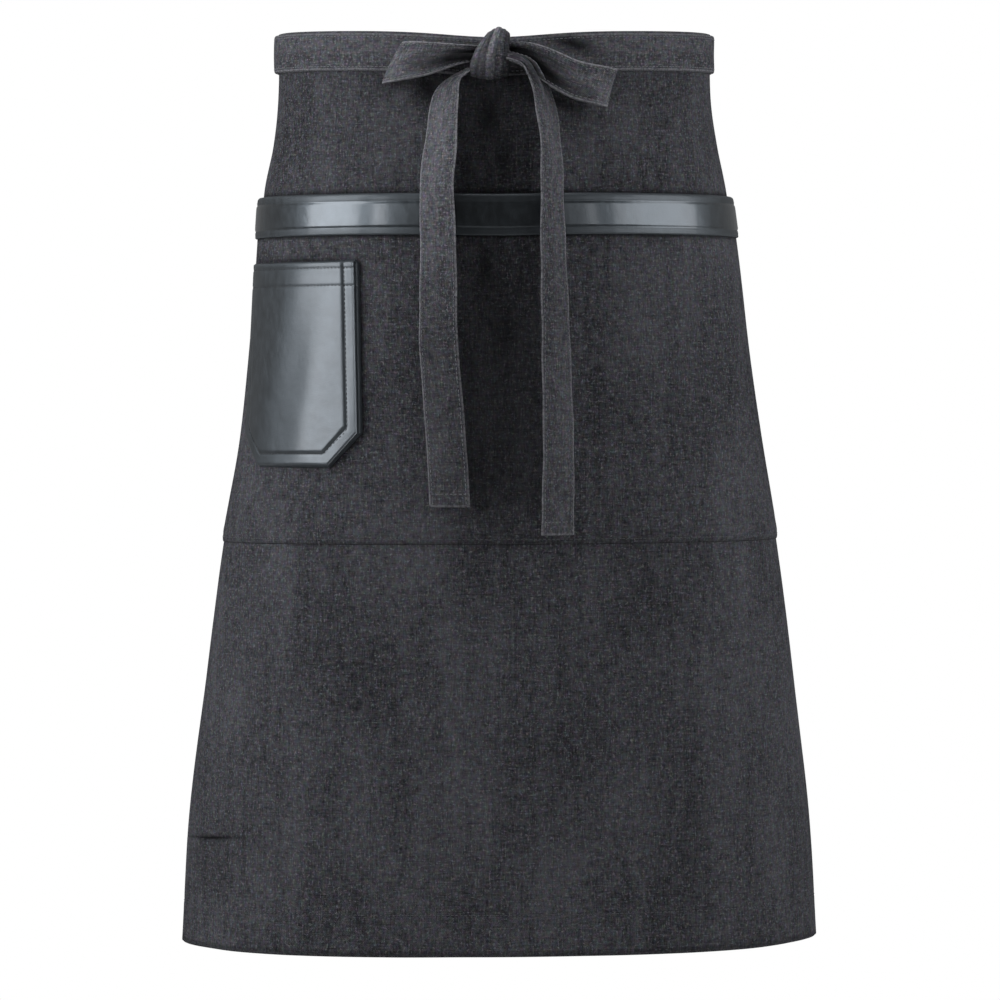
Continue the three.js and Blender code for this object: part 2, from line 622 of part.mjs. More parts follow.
// Tails, which hang from the knot and rest an edge on the cloth
const TAIL_STATIONS = 18;
function tailGeometry(rows, start, drop) {
  const startDown = WAISTBAND_HEIGHT / 2 + start;
  const stations = steps(0, 1, TAIL_STATIONS).map((share) => {
    const at = share ** TAIL_STEP_GROWTH;
    const down = startDown + at * drop;
    const along = TAIL_SIDE * read(rows, "down", "side", at);
    const width = TIE_WIDTH * read(rows, "down", "width", at);
    const turn = radians(read(rows, "down", "turn", at));
    const reached = smooth((down - POCKET_TOP) / TAIL_RISE + 1);
    const behind = trimOuter(along, down) * reached;
    const resting = behind + TAIL_REST + TIE_THICKNESS / 2 + (width / 2) * Math.sin(turn);
    const off = mix(resting, Math.max(resting, knotOff), read(rows, "down", "off", at));
    const middle = layerPoint(along, down, off);
    const inwards = -Math.sign(along);
    const across = new THREE.Vector3(inwards * Math.cos(turn), -Math.sin(turn), 0);
    return [
      middle.clone().addScaledVector(across, -width / 2),
      middle.clone().addScaledVector(across, width / 2),
    ];
  });
  return ribbonGeometry(stations, TIE_THICKNESS, 2);
}
const bowCutters = [knotCutter, leftLoop(CUT_GAP), rightLoop(CUT_GAP)];
const leftTail = tailGeometry(LEFT_TAIL, LEFT_TAIL_START, LEFT_TAIL_DROP);
const rightTail = tailGeometry(RIGHT_TAIL, RIGHT_TAIL_START, RIGHT_TAIL_DROP);
add("tie_tail_left", cutClear(leftTail, bowCutters), tieDenim);
add("tie_tail_right", cutClear(rightTail, bowCutters), tieDenim);

export default apron;
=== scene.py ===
# %% [markdown]
# # A denim waist apron, tied at the front
#
# A real one is a flat panel of denim on a waistband, with a wide patch pocket edged in leather, a small
# leather pocket, and two ties that cross behind and are tied in a bow. The imported solids hold its sizes.
# This script makes each of them again as cloth or leather: fine meshes that bend as the solids do, with
# hems, seams and real stitches, and materials that are worked out from the weave. Cloth that hangs this
# stiffly needs no simulation: its few folds are listed in short tables, which keeps the layers
# parallel and never lets one cut through another.

import bpy
import numpy as np
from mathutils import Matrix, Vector


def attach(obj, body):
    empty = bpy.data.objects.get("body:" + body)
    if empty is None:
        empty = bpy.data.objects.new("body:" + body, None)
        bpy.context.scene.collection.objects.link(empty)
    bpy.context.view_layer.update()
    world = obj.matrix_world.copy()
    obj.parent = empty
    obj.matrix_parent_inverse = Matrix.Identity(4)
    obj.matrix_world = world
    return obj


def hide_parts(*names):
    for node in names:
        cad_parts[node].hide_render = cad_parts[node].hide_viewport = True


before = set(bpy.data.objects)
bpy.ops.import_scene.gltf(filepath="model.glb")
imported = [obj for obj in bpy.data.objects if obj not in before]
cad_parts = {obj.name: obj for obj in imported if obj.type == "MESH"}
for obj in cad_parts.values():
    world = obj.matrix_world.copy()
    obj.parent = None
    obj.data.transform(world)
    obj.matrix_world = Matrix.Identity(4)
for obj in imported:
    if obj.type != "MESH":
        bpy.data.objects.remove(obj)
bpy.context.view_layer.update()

MM = 0.001
print("nodes:", ", ".join(sorted(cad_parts)))

# %% [markdown]
# ## Camera
#
# The apron was photographed square on, from about hip height and from well back, so its sides hardly
# converge. A long lens at nearly five metres gives that. The photo is 1000 pixels each way, and one of
# them is 0.758 mm at the middle of the waist, so the lens follows from the distance.

# %% Camera
PHOTO_SIDE = 1000
PIXEL = 0.758 * MM
ORIGIN_ROW = 55  # the photo's row that the middle of the waist lies on
HORIZON_ROW = 400
CAMERA_DISTANCE = 4.75
SENSOR = 36.0


def row_height(row):
    return (ORIGIN_ROW - row) * PIXEL


camera_data = bpy.data.cameras.new("camera")
camera_data.sensor_width = SENSOR
camera_data.lens = SENSOR * CAMERA_DISTANCE / (PHOTO_SIDE * PIXEL)
camera = bpy.data.objects.new("camera", camera_data)
bpy.context.scene.collection.objects.link(camera)
camera.location = (0, -CAMERA_DISTANCE, row_height(HORIZON_ROW))
photo_middle = Vector((0, 0, row_height(PHOTO_SIDE / 2)))
camera.rotation_euler = (photo_middle - camera.location).to_track_quat("-Z", "Y").to_euler()
bpy.context.scene.camera = camera
print("lens", round(camera_data.lens), "mm")

# %% [markdown]
# ## Writing shaders as sums
#
# A material is a graph of small nodes. Written out one by one they hide the idea, so this class wraps a
# socket: arithmetic on it adds the Math nodes, and every other node comes from one method. Colours go
# through Mix nodes instead, because a Math node would turn them grey.


# %% A socket that can be added and multiplied
class Wire:
    """An output socket in a node tree."""

    def __init__(self, tree, socket=None):
        self.tree, self.socket = tree, socket

    def node(self, kind, settings=None, inputs=None, output=0):
        node = self.tree.nodes.new("ShaderNode" + kind)
        for name, value in (settings or {}).items():
            setattr(node, name, value)
        for name, value in (inputs or {}).items():
            if isinstance(value, Wire):
                self.tree.links.new(value.socket, node.inputs[name])
            else:
                node.inputs[name].default_value = value
        return Wire(self.tree, node.outputs[output] if len(node.outputs) else None)

    def math(self, operation, first, second=0.0):
        return self.node("Math", {"operation": operation}, {0: first, 1: second})

    def __add__(self, other):
        return self.math("ADD", self, other)

    def __sub__(self, other):
        return self.math("SUBTRACT", self, other)

    def __mul__(self, other):
        return self.math("MULTIPLY", self, other)

    def __rsub__(self, other):
        return self.math("SUBTRACT", other, self)

    __radd__ = __add__
    __rmul__ = __mul__

    def rise(self, low, high, start=0.0, end=1.0):
        """Goes smoothly from start to end as this value goes from low to high."""
        settings = {"interpolation_type": "SMOOTHSTEP"}
        inputs = {"Value": self, "From Min": low, "From Max": high, "To Min": start, "To Max": end}
        return self.node("MapRange", settings, inputs)

    def blend(self, first, second):
        """Mixes two colours, with this value as the second one's share."""
        inputs = {0: self, 6: first, 7: second}
        return self.node("Mix", {"data_type": "RGBA"}, inputs, output=2)

    def noise(self, place, size, detail=2.0):
        """Noise whose grain measures size, a pair of metres along the cloth's two directions."""
        scale = (1 / size[0], 1 / size[1], 1.0)
        scaled = self.node("Mapping", {"vector_type": "POINT"}, {"Vector": place, "Scale": scale})
        inputs = {"Vector": scaled, "Scale": 1.0, "Detail": detail, "Roughness": 0.55}
        return self.node("TexNoise", {"noise_dimensions": "2D"}, inputs)


def fresh_tree(owner):
    owner.use_nodes = True
    owner.node_tree.nodes.clear()
    return Wire(owner.node_tree)


# %% [markdown]
# ## Studio
#
# The leather tells where the lamps stood. It is black in the middle and shines in broad patches on both
# sides, so tall soft boxes stood far to the left and right, smaller ones stood nearer to the camera, and
# hardly anything bright stood between them. Light from both sides also leaves the gap between the
# hanging ties dark, and painted shade in the denim's colour deepens that. The backdrop was white, which
# the world gives, with little light of its own. The floor fades out towards its rim, so that no horizon
# shows from other sides.

# %% Backdrop and floor
FLOOR_HEIGHT = -1.05  # where the wearer would stand
FLOOR_RADIUS = 2.6
FLOOR_FADE = (1.2, 2.5)  # metres from the middle
BACKDROP_LIGHT = 0.22
FRONT_FILL = 0.07

bpy.context.scene.view_settings.view_transform = "Standard"
world = bpy.data.worlds.new("studio")
bpy.context.scene.world = world
sky = fresh_tree(world)
direction = sky.node("TexCoord", output=0)
away = sky.node("SeparateXYZ", inputs={0: direction}, output=1)
light = away.rise(-0.15, 0.3, FRONT_FILL, BACKDROP_LIGHT)
seen = sky.node("LightPath", output=0)
strength = light * (1 - seen) + seen
backdrop = sky.node("Background", inputs={"Color": (1, 1, 1, 1), "Strength": strength})
sky.node("OutputWorld", inputs={"Surface": backdrop})

bpy.ops.mesh.primitive_circle_add(
    vertices=96, radius=FLOOR_RADIUS, fill_type="NGON", location=(0, 0, FLOOR_HEIGHT)
)
floor = bpy.context.object
floor.name = "floor"
floor_material = bpy.data.materials.new("pale_floor")
paint = fresh_tree(floor_material)
spot = paint.node("NewGeometry", output=0)
middle_distance = paint.node("VectorMath", {"operation": "LENGTH"}, {0: spot}, output=1)
held = middle_distance.rise(*FLOOR_FADE, 1.0, 0.0)
matt_settings = {"Base Color": (0.86, 0.86, 0.85, 1), "Roughness": 0.7, "Alpha": held}
matt = paint.node("BsdfPrincipled", inputs=matt_settings)
paint.node("OutputMaterial", inputs={"Surface": matt})
floor.data.materials.append(floor_material)

# %% Soft boxes
# Each row is a lamp: degrees to the right of the camera, width, height, middle's height, brightness.
LAMP_DISTANCE = 1.6
LAMPS = {
    "soft_box_left": (-69, 0.84, 1.9, 0.55, 6.4),
    "soft_box_right": (75, 1.05, 1.5, 0.25, 3.5),
    "low_box_right": (51, 0.36, 0.6, 0.02, 3.5),
    "strip_left": (-43.7, 0.2, 0.7, 0.05, 6.2),
    "strip_right": (33, 0.12, 0.6, 0.02, 2.6),
    "glow_left": (-31, 0.5, 0.6, 0.02, 0.5),
    "glow_right": (26, 0.5, 0.6, 0.02, 0.7),
}
TOP_BOX = (0, -0.5, 1.75)
TOP_BOX_SIZE = (1.0, 0.6)
TOP_BOX_BRIGHTNESS = 6.0
TOP_BOX_AIM = (0, -0.12, 0)
LAMP_COLOUR = (0.96, 0.99, 1.04)


def soft_box(name, place, aim, width, height, brightness):
    lamp_data = bpy.data.lights.new(name, "AREA")
    lamp_data.shape = "RECTANGLE"
    lamp_data.size, lamp_data.size_y = width, height
    lamp_data.energy = brightness * np.pi * width * height
    lamp_data.color = LAMP_COLOUR
    lamp = bpy.data.objects.new(name, lamp_data)
    bpy.context.scene.collection.objects.link(lamp)
    lamp.location = place
    lamp.rotation_euler = (Vector(aim) - lamp.location).to_track_quat("-Z", "Y").to_euler()
    lamp.visible_camera = False


for lamp_name, (azimuth, width, height, middle, brightness) in LAMPS.items():
    turn = np.radians(azimuth)
    place = (LAMP_DISTANCE * np.sin(turn), -LAMP_DISTANCE * np.cos(turn), middle)
    soft_box(lamp_name, place, (0, 0, middle), width, height, brightness)
soft_box("top_box", TOP_BOX, TOP_BOX_AIM, *TOP_BOX_SIZE, TOP_BOX_BRIGHTNESS)
print("lamps:", ", ".join(LAMPS))

# %% [markdown]
# ## Tables read smoothly
#
# The shape of the hanging cloth is held in short tables, the same as the solids have: a row for each
# height, bend or fold. A cubic through the rows gives the values between them, so that no row shows as
# a kink in glossy leather.


# %% Table helpers
def table(names, rows):
    return dict(zip(names.split(), np.array(rows, float).T))


def read(rows, column, at):
    """A column's value where the first column has the value at."""
    keys, values = next(iter(rows.values())), rows[column]
    at = np.clip(at, keys[0], keys[-1])
    row = np.clip(np.searchsorted(keys, at, side="right") - 1, 0, len(keys) - 2)
    before, after = np.maximum(row - 1, 0), np.minimum(row + 2, len(keys) - 1)
    length = keys[row + 1] - keys[row]
    share = (at - keys[row]) / length
    slope_in = (values[row + 1] - values[before]) / (keys[row + 1] - keys[before]) * length
    slope_out = (values[after] - values[row]) / (keys[after] - keys[row]) * length
    return (
        values[row] * (2 * share**3 - 3 * share**2 + 1)
        + slope_in * (share**3 - 2 * share**2 + share)
        + values[row + 1] * (3 * share**2 - 2 * share**3)
        + slope_out * (share**3 - share**2)
    )


def smooth(value):
    held = np.clip(value, 0, 1)
    return held * held * (3 - 2 * held)


def bell(value):
    return np.exp(-value * value)


def mix(start, end, share):
    return start + (end - start) * share


def unit(vectors):
    return vectors / np.linalg.norm(vectors, axis=-1, keepdims=True)


# %% [markdown]
# ## The form under the cloth
#
# The apron hangs round a body that isn't there. Its section is an oval at every height, wider towards
# the hem, and the cloth is measured along that oval from the front middle. So a place on the cloth is a
# pair of lengths, along and down, as on the flat pattern, and the weave, the hems and the stitches can
# all be given in it. Bending the pattern this way never stretches it, as real denim never does.

# %% Sizes of the panel and its form
PANEL_WIDTH = 720 * MM
PANEL_LENGTH = 686 * MM
HALF_PANEL = PANEL_WIDTH / 2
WAISTBAND_HEIGHT = 28 * MM
CORNER_RISE = 3 * MM
HEM_TILT = 3 * MM
SIZES = table(
    "end width front back setback sway",
    [
        (0, 163, 118, 112, 0, 0),
        (1, 238, 150, 145, 17, 3),
    ],
)
FORM = table(
    "down width front back setback sway",
    [
        (0.00, 0.000, 0.00, 0.00, 0.00, -1.4),
        (0.07, 0.012, 0.10, 0.10, 0.12, -1.4),
        (0.12, 0.068, 0.20, 0.22, 0.25, -1.2),
        (0.17, 0.160, 0.30, 0.34, 0.35, -1.2),
        (0.25, 0.240, 0.45, 0.50, 0.50, -0.6),
        (0.35, 0.335, 0.60, 0.62, 0.65, -0.2),
        (0.45, 0.455, 0.70, 0.72, 0.78, 0.2),
        (0.56, 0.625, 0.80, 0.80, 0.88, 0.0),
        (0.72, 0.805, 0.90, 0.90, 0.95, 0.0),
        (0.86, 0.935, 0.96, 0.96, 1.00, 0.0),
        (1.00, 1.000, 1.00, 1.00, 1.00, 0.0),
    ],
)


def form_size(column, down):
    waist, hem = SIZES[column] * MM
    return mix(waist, hem, read(FORM, column, down / PANEL_LENGTH))


# %% Lengths measured along the ovals
TURN_STEPS = 720
ROW_STEP = 5 * MM
TOP_ROW = -40 * MM
form_turns = np.linspace(0, np.pi, TURN_STEPS + 1)
form_downs = np.arange(TOP_ROW, PANEL_LENGTH + 2 * ROW_STEP, ROW_STEP)
half_girths, even_turns = [], []
for form_down in form_downs:
    oval_depth = np.where(
        form_turns < np.pi / 2, form_size("front", form_down), form_size("back", form_down)
    )
    oval_x = form_size("width", form_down) * np.sin(form_turns)
    oval_y = -oval_depth * np.cos(form_turns)
    oval_steps = np.hypot(np.diff(oval_x), np.diff(oval_y))
    oval_lengths = np.concatenate([[0], np.cumsum(oval_steps)])
    half_girths.append(oval_lengths[-1])
    even = np.linspace(0, oval_lengths[-1], TURN_STEPS + 1)
    even_turns.append(np.interp(even, oval_lengths, form_turns))
half_girths, even_turns = np.array(half_girths), np.array(even_turns)
print("half girth at the waist", round(np.interp(0, form_downs, half_girths) / MM), "mm")


def half_girth(down):
    return np.interp(down, form_downs, half_girths)


def form_point(along, down):
    """The oval's point at a length along it, and at a height, as x and y."""
    row = np.clip((down - TOP_ROW) / ROW_STEP, 0, len(form_downs) - 1.001)
    half = half_girth(down)
    wrapped = np.mod(along + half, 2 * half) - half
    place = np.clip(np.abs(wrapped) / half, 0, 1) * (TURN_STEPS - 0.001)
    i, k = row.astype(int), place.astype(int)
    f, g = row - i, place - k
    near = mix(even_turns[i, k], even_turns[i, k + 1], g)
    far = mix(even_turns[i + 1, k], even_turns[i + 1, k + 1], g)
    turned = mix(near, far, f)
    depth = np.where(turned < np.pi / 2, form_size("front", down), form_size("back", down))
    x = np.sign(wrapped) * form_size("width", down) * np.sin(turned)
    sway = SIZES["sway"][1] * MM * read(FORM, "sway", down / PANEL_LENGTH)
    return x + sway, form_size("setback", down) - depth * np.cos(turned)


# %% [markdown]
# ## Folds
#
# Denim this stiff has few folds: a shallow valley down the front, some broad swells towards the hem and
# the loose back edges. Each is one row. Finer waves and one pressed crease near the lower left are
# added here, too small for the solids but seen in raking light.

# %% Folds and creases
FOLD_DEPTH = 10 * MM
FOLDS = [
    # at the top, at the hem, half breadth, depth, from, full at, left at the hem
    (0.00, 0.00, 0.13, -0.95, 0.08, 0.30, 0.25),
    (-0.30, -0.10, 0.10, -0.35, 0.50, 0.68, 0.80),
    (0.30, 0.16, 0.10, -0.32, 0.48, 0.66, 0.70),
    (-0.30, -0.42, 0.16, 0.28, 0.30, 0.70, 1.00),
    (0.34, 0.45, 0.16, 0.26, 0.30, 0.70, 1.00),
    (-0.66, -0.70, 0.09, -0.40, 0.55, 0.90, 1.00),
    (0.66, 0.70, 0.09, -0.40, 0.58, 0.92, 1.00),
    (-0.94, -0.92, 0.10, 0.55, 0.35, 0.85, 1.00),
    (0.95, 0.93, 0.10, 0.50, 0.40, 0.85, 1.00),
]
WAVES = [
    # length along and down, slant, height, phase
    (0.145, 0.42, 0.10, 0.45, 0.4),
    (0.083, 0.31, -0.16, 0.28, 2.1),
    (0.052, 0.19, 0.22, 0.14, 4.0),
    (0.031, 0.085, -0.3, 0.07, 1.2),
]
CREASES = [
    # along, down, half length, half breadth, depth, slope: all but the slope in mm
    (-252, 604, 46, 1.4, -1.1, -0.055),
    (-252, 608, 50, 3.0, 0.5, -0.055),
    (-8, 172, 10, 1.8, -0.5, 1.4),
    (30, 590, 46, 5.0, -0.35, -0.5),
    (-118, 640, 60, 6.0, -0.3, 0.35),
]


def fold_at(along, down):
    across, share = along / HALF_PANEL, down / PANEL_LENGTH
    out = 0.0
    for start, end, spread, depth, top, full, left in FOLDS:
        place = mix(start, end, np.clip((share - top) / (1 - top), 0, 1))
        grown = smooth((share - top) / (full - top))
        kept = mix(1, left, smooth((share - full) / (1 - full)))
        out = out + FOLD_DEPTH * depth * grown * kept * bell((across - place) / spread)
    return out


def ripple_at(along, down):
    out = 0.0
    loose = 0.25 + 0.75 * smooth(down / PANEL_LENGTH)
    for length, height, slant, depth, phase in WAVES:
        turned = along + slant * down
        wave = np.sin(2 * np.pi * turned / length + phase + 0.8 * np.sin(2 * np.pi * down / height))
        out = out + depth * MM * loose * wave * (0.6 + 0.4 * np.sin(2 * np.pi * down / height + phase))
    for *lengths, slope in CREASES:
        middle, height, reach, breadth, depth = np.array(lengths) * MM
        offset = (down - height) - slope * (along - middle)
        out = out + depth * bell(offset / breadth) * bell((along - middle) / reach) ** 2
    return out


# %% A place on the cloth
FRONT_DIP, FRONT_DIP_SPREAD = 5 * MM, 150 * MM
KNOT_DIP, KNOT_DIP_SPREAD = 4 * MM, 48 * MM
POCKET_TOP = 124 * MM
NORMAL_STEP = 2 * MM


def bare_point(along, down):
    along, down = np.broadcast_arrays(np.asarray(along, float), np.asarray(down, float))
    x, y = form_point(along, down)
    across = along / HALF_PANEL
    rise = (CORNER_RISE * across**4 + HEM_TILT * across) * np.clip(down / PANEL_LENGTH, 0, 1)
    front_dip = FRONT_DIP * bell(along / FRONT_DIP_SPREAD)
    dip = (front_dip + KNOT_DIP * bell(along / KNOT_DIP_SPREAD)) * (1 - smooth(down / POCKET_TOP))
    return np.stack([x, y, WAISTBAND_HEIGHT / 2 - down + rise - dip], -1)


def outwards(place, along, down):
    across = place(along + NORMAL_STEP, down) - place(along - NORMAL_STEP, down)
    downwards = place(along, down + NORMAL_STEP) - place(along, down - NORMAL_STEP)
    return unit(np.cross(downwards, across))


def folded_point(along, down):
    push = fold_at(along, down) + ripple_at(along, down)
    return bare_point(along, down) + outwards(bare_point, along, down) * push[..., None]


def layer_point(along, down, off):
    """A point of a layer that lies a distance off the panel's outer face."""
    off = np.broadcast_to(off, np.broadcast(along, down).shape)
    return folded_point(along, down) + outwards(folded_point, along, down) * off[..., None]


print("front middle of the waist", np.round(layer_point(0.0, 0.0, 0.0) / MM))

# %% [markdown]
# ## Painted shade on the denim
#
# Light and shade are painted into the denim's colour: painted shade in the folds of the bow, under its
# loops, and on the strip of cloth that hangs between the two ties, which the ties shadow from the side
# lamps. Each place on the panel has a share of painted light: less in a wide window between the ties,
# in a few slanting painted shadows, and in thin painted shade lines where the trim and the hem cover
# the cloth or turn it under.

# %% Painted shade of the panel, its waistband and its pocket
# The window of painted shade between the ties, where they shadow the panel from the side lamps.
GAP_LEFT, GAP_RIGHT = -36 * MM, 39 * MM
GAP_FADE = 10 * MM
GAP_START_FADE = 10 * MM
GAP_END, GAP_END_FADE = 338 * MM, 36 * MM
GAP_SHADE_DEPTHS = (0.08, 0.4)  # above the pocket's mouth, and well below it
LINE_FADE = 3 * MM
# Painted shadows under the knot and the bow's loops, between and beside the tails, along the pressed
# crease and above the small pocket.
PAINTED_SHADOWS = [
    # along, down, half length, half breadth, slope, depth: mm but for the last two
    (-50, 42, 12, 14, 0.0, 0.85),
    (-72, 38, 17, 4.5, -0.1, 0.75),
    (45, 50, 25, 6, 0.38, 0.85),
    (58, 7, 18, 6, 0.36, 0.92),
    (-3, 60, 8, 24, 0.0, 0.75),
    (6, 98, 6, 14, 0.0, 0.6),
    (-22, 108, 5, 18, 0.0, 0.45),
    (-9, 178, 6, 18, 0.0, 0.7),
    (5, 226, 9, 22, 0.0, 0.5),
    (8, 290, 16, 40, 0.0, 0.16),
    (-252, 604, 42, 1.5, -0.055, 0.98),
    (15, 26, 8, 5, 0.0, 0.8),
    (-24, 27, 9, 4, 0.0, 0.6),
    (-164, 171.6, 60, 2.0, 0.0, 0.7),
]
# Painted shade lines at the waistband's top, just above and below the trim, and along the hem's lower
# edge.
PAINTED_SHADE_LINES = [
    # down, reach to both sides, half breadth, depth: mm but for the last
    (0.3, 1000, 1.2, 0.35),
    (121.6, 318, 2.0, 0.6),
    (154.2, 318, 1.5, 0.6),
    (685.6, 1000, 1.6, 0.6),
]


# The share of light left after the painted shade: one where none is painted.
def dye_at(along, down):
    between = smooth((along - GAP_LEFT) / GAP_FADE) * smooth((GAP_RIGHT - along) / GAP_FADE)
    depth = mix(*GAP_SHADE_DEPTHS, smooth((down - POCKET_TOP) / POCKET_TOP))
    ended = 1 - smooth((down - GAP_END) / GAP_END_FADE)
    begun = smooth((down - WAISTBAND_HEIGHT) / GAP_START_FADE)
    left = 1 - between * depth * ended * begun
    for *lengths, slope, depth in PAINTED_SHADOWS:
        middle, height, reach, breadth = np.array(lengths) * MM
        offset = (down - height) - slope * (along - middle)
        left = left * (1 - depth * bell(offset / breadth) * bell((along - middle) / reach))
    for *lengths, depth in PAINTED_SHADE_LINES:
        height, reach, breadth = np.array(lengths) * MM
        within = smooth((reach - np.abs(along)) / LINE_FADE)
        left = left * (1 - depth * within * bell((down - height) / breadth))
    return left



# %% [markdown]
# ## From grids to cloth
#
# Every piece is a grid of points for its outer face and one for its inner face, joined round a rounded
# rim. The grid keeps each point's place on the flat pattern as a UV map in metres, for the weave, its
# distance to the nearest edge, for the wear that folded denim shows there, and its painted light, which
# is one where the cloth has its usual shade, lower where shade is painted and higher where light is.


# %% A closed sheet from two grids
class Sheet:
    """The two faces of a piece of cloth, and where their points lie on the flat pattern."""

    def __init__(self, outer, inner, across, down, edge=None):
        self.outer, self.inner = outer, inner
        shape = outer.shape[:2]
        self.across, self.down = np.broadcast_to(across, shape), np.broadcast_to(down, shape)
        self.edge = self.edge_distance() if edge is None else edge
        # The painted light of each face: one leaves the colour as it is, less paints shade, more paints
        # light.
        self.dye, self.inner_dye = np.ones(shape), np.ones(shape)

    def edge_distance(self):
        left = np.abs(self.across - self.across[:1])
        right = np.abs(self.across - self.across[-1:])
        top = np.abs(self.down - self.down[:, :1])
        bottom = np.abs(self.down - self.down[:, -1:])
        return np.minimum(np.minimum(left, right), np.minimum(top, bottom))

    def at(self, column, row, face):
        """Points between the grid's, by fractions of its columns and rows."""
        columns, rows = face.shape[:2]
        i = np.clip(column.astype(int), 0, columns - 2)
        j = np.clip(row.astype(int), 0, rows - 2)
        f, g = (column - i)[:, None], (row - j)[:, None]
        near = mix(face[i, j], face[i + 1, j], f)
        far = mix(face[i, j + 1], face[i + 1, j + 1], f)
        return mix(near, far, g)


def tight_steps(start, end, step, edge=1.2 * MM):
    """Even steps, with one more close to each end to hold the rim's roundness."""
    count = max(2, int(round(abs(end - start) / step)))
    inner = np.linspace(start, end, count + 1)[1:-1]
    way = np.sign(end - start) * edge
    return np.concatenate([[start, start + way], inner, [end - way, end]])


def make_object(name, points, faces, material, layers=None):
    points = np.asarray(points)
    tris = np.concatenate([faces[:, [0, 1, 2]], faces[:, [0, 2, 3]]])
    corners = points[tris]
    volume = np.einsum("ij,ij->i", corners[:, 0], np.cross(corners[:, 1], corners[:, 2])).sum()
    if volume < 0:
        faces = faces[:, ::-1]
    mesh = bpy.data.meshes.new(name)
    mesh.from_pydata(points.tolist(), [], [list(dict.fromkeys(face)) for face in faces.tolist()])
    mesh.polygons.foreach_set("use_smooth", np.ones(len(mesh.polygons), bool))
    if layers:
        across, down, edge, dye = layers
        corner = np.empty(len(mesh.loops), np.int32)
        mesh.loops.foreach_get("vertex_index", corner)
        flat = mesh.uv_layers.new(name="pattern")
        flat.data.foreach_set("uv", np.stack([across, down], -1)[corner].ravel().astype(np.float32))
        # The painted light goes to the material as an attribute, beside the distance to the edge.
        for layer, values in (("edge", edge), ("dye", dye)):
            kept = mesh.attributes.new(layer, "FLOAT", "POINT")
            kept.data.foreach_set("value", values.astype(np.float32))
    mesh.materials.append(material)
    piece = bpy.data.objects.new(name, mesh)
    bpy.context.scene.collection.objects.link(piece)
    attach(piece, "root")
    return piece


RIM_ROUNDNESS = 0.42  # how far the rim stands out, as a share of the thickness


def make_cloth(name, sheet, material):
    columns, rows = sheet.outer.shape[:2]
    index = np.arange(columns * rows).reshape(columns, rows)
    cell = [index[:-1, :-1], index[1:, :-1], index[1:, 1:], index[:-1, 1:]]
    front = np.stack(cell, -1).reshape(-1, 4)
    count = columns * rows
    back = front[:, ::-1] + count
    rim = np.concatenate([index[:, 0], index[-1, 1:], index[-2::-1, -1], index[0, -2:0:-1]])
    i, j = rim // rows, rim % rows
    middles = (sheet.outer + sheet.inner) / 2
    within = middles[np.clip(i, 1, columns - 2), np.clip(j, 1, rows - 2)]
    push = unit(middles[i, j] - within)
    thickness = np.linalg.norm(sheet.outer[i, j] - sheet.inner[i, j], axis=-1, keepdims=True)
    middle = middles[i, j] + push * thickness * RIM_ROUNDNESS
    around, following = np.arange(len(rim)), np.roll(np.arange(len(rim)), -1)
    nose = 2 * count
    upper = np.stack([rim, nose + around, nose + following, np.roll(rim, -1)], -1)
    lower = np.stack([nose + around, count + rim, count + np.roll(rim, -1), nose + following], -1)
    points = np.concatenate([sheet.outer.reshape(-1, 3), sheet.inner.reshape(-1, 3), middle])
    faces = np.concatenate([front, back, upper, lower])
    pairs = [(values, values) for values in (sheet.across, sheet.down, sheet.edge)]
    layers = [
        np.concatenate([outer.ravel(), inner.ravel(), outer[i, j]])
        for outer, inner in [*pairs, (sheet.dye, sheet.inner_dye)]
    ]
    return make_object(name, points, faces, material, layers)


# %% [markdown]
# ## Stitches
#
# Topstitching is what makes sewn cloth look sewn. Each stitch is a short spindle of thread whose ends
# dip into the cloth. One spindle is made once as a few rings, and then copied along the seam with plain
# arithmetic, which is far quicker than adding thousands of objects.

# %% Stitches along a seam
THREAD_RADIUS = 0.3 * MM
STITCH_PITCH = 3.3 * MM
STITCH_LENGTH = 2.5 * MM
THREAD_SIDES = 5
SPINDLE = table(
    "place radius lift",
    [
        (-0.50, 0.45, -0.9),
        (-0.28, 0.95, 0.35),
        (0.28, 0.95, 0.35),
        (0.50, 0.45, -0.9),
    ],
)


def stitch_spindle():
    turns = np.arange(THREAD_SIDES) * 2 * np.pi / THREAD_SIDES
    rings = []
    for place, radius, lift in zip(SPINDLE["place"], SPINDLE["radius"], SPINDLE["lift"]):
        length = np.full(THREAD_SIDES, place * STITCH_LENGTH)
        side = np.cos(turns) * radius * THREAD_RADIUS
        up = (np.sin(turns) * radius + lift) * THREAD_RADIUS
        rings.append(np.stack([length, side, up], -1))
    faces = []
    for ring in range(len(rings) - 1):
        for side in range(THREAD_SIDES):
            this, that = ring * THREAD_SIDES + side, ring * THREAD_SIDES + (side + 1) % THREAD_SIDES
            faces.append((this, that, that + THREAD_SIDES, this + THREAD_SIDES))
    last = (len(rings) - 1) * THREAD_SIDES
    for start, way in ((0, -1), (last, 1)):
        corner = [start + side for side in range(THREAD_SIDES)][::way]
        faces.append((corner[0], corner[1], corner[2], corner[3]))
        faces.append((corner[0], corner[3], corner[4], corner[4]))
    return np.concatenate(rings), np.array(faces)


SPINDLE_POINTS, SPINDLE_FACES = stitch_spindle()


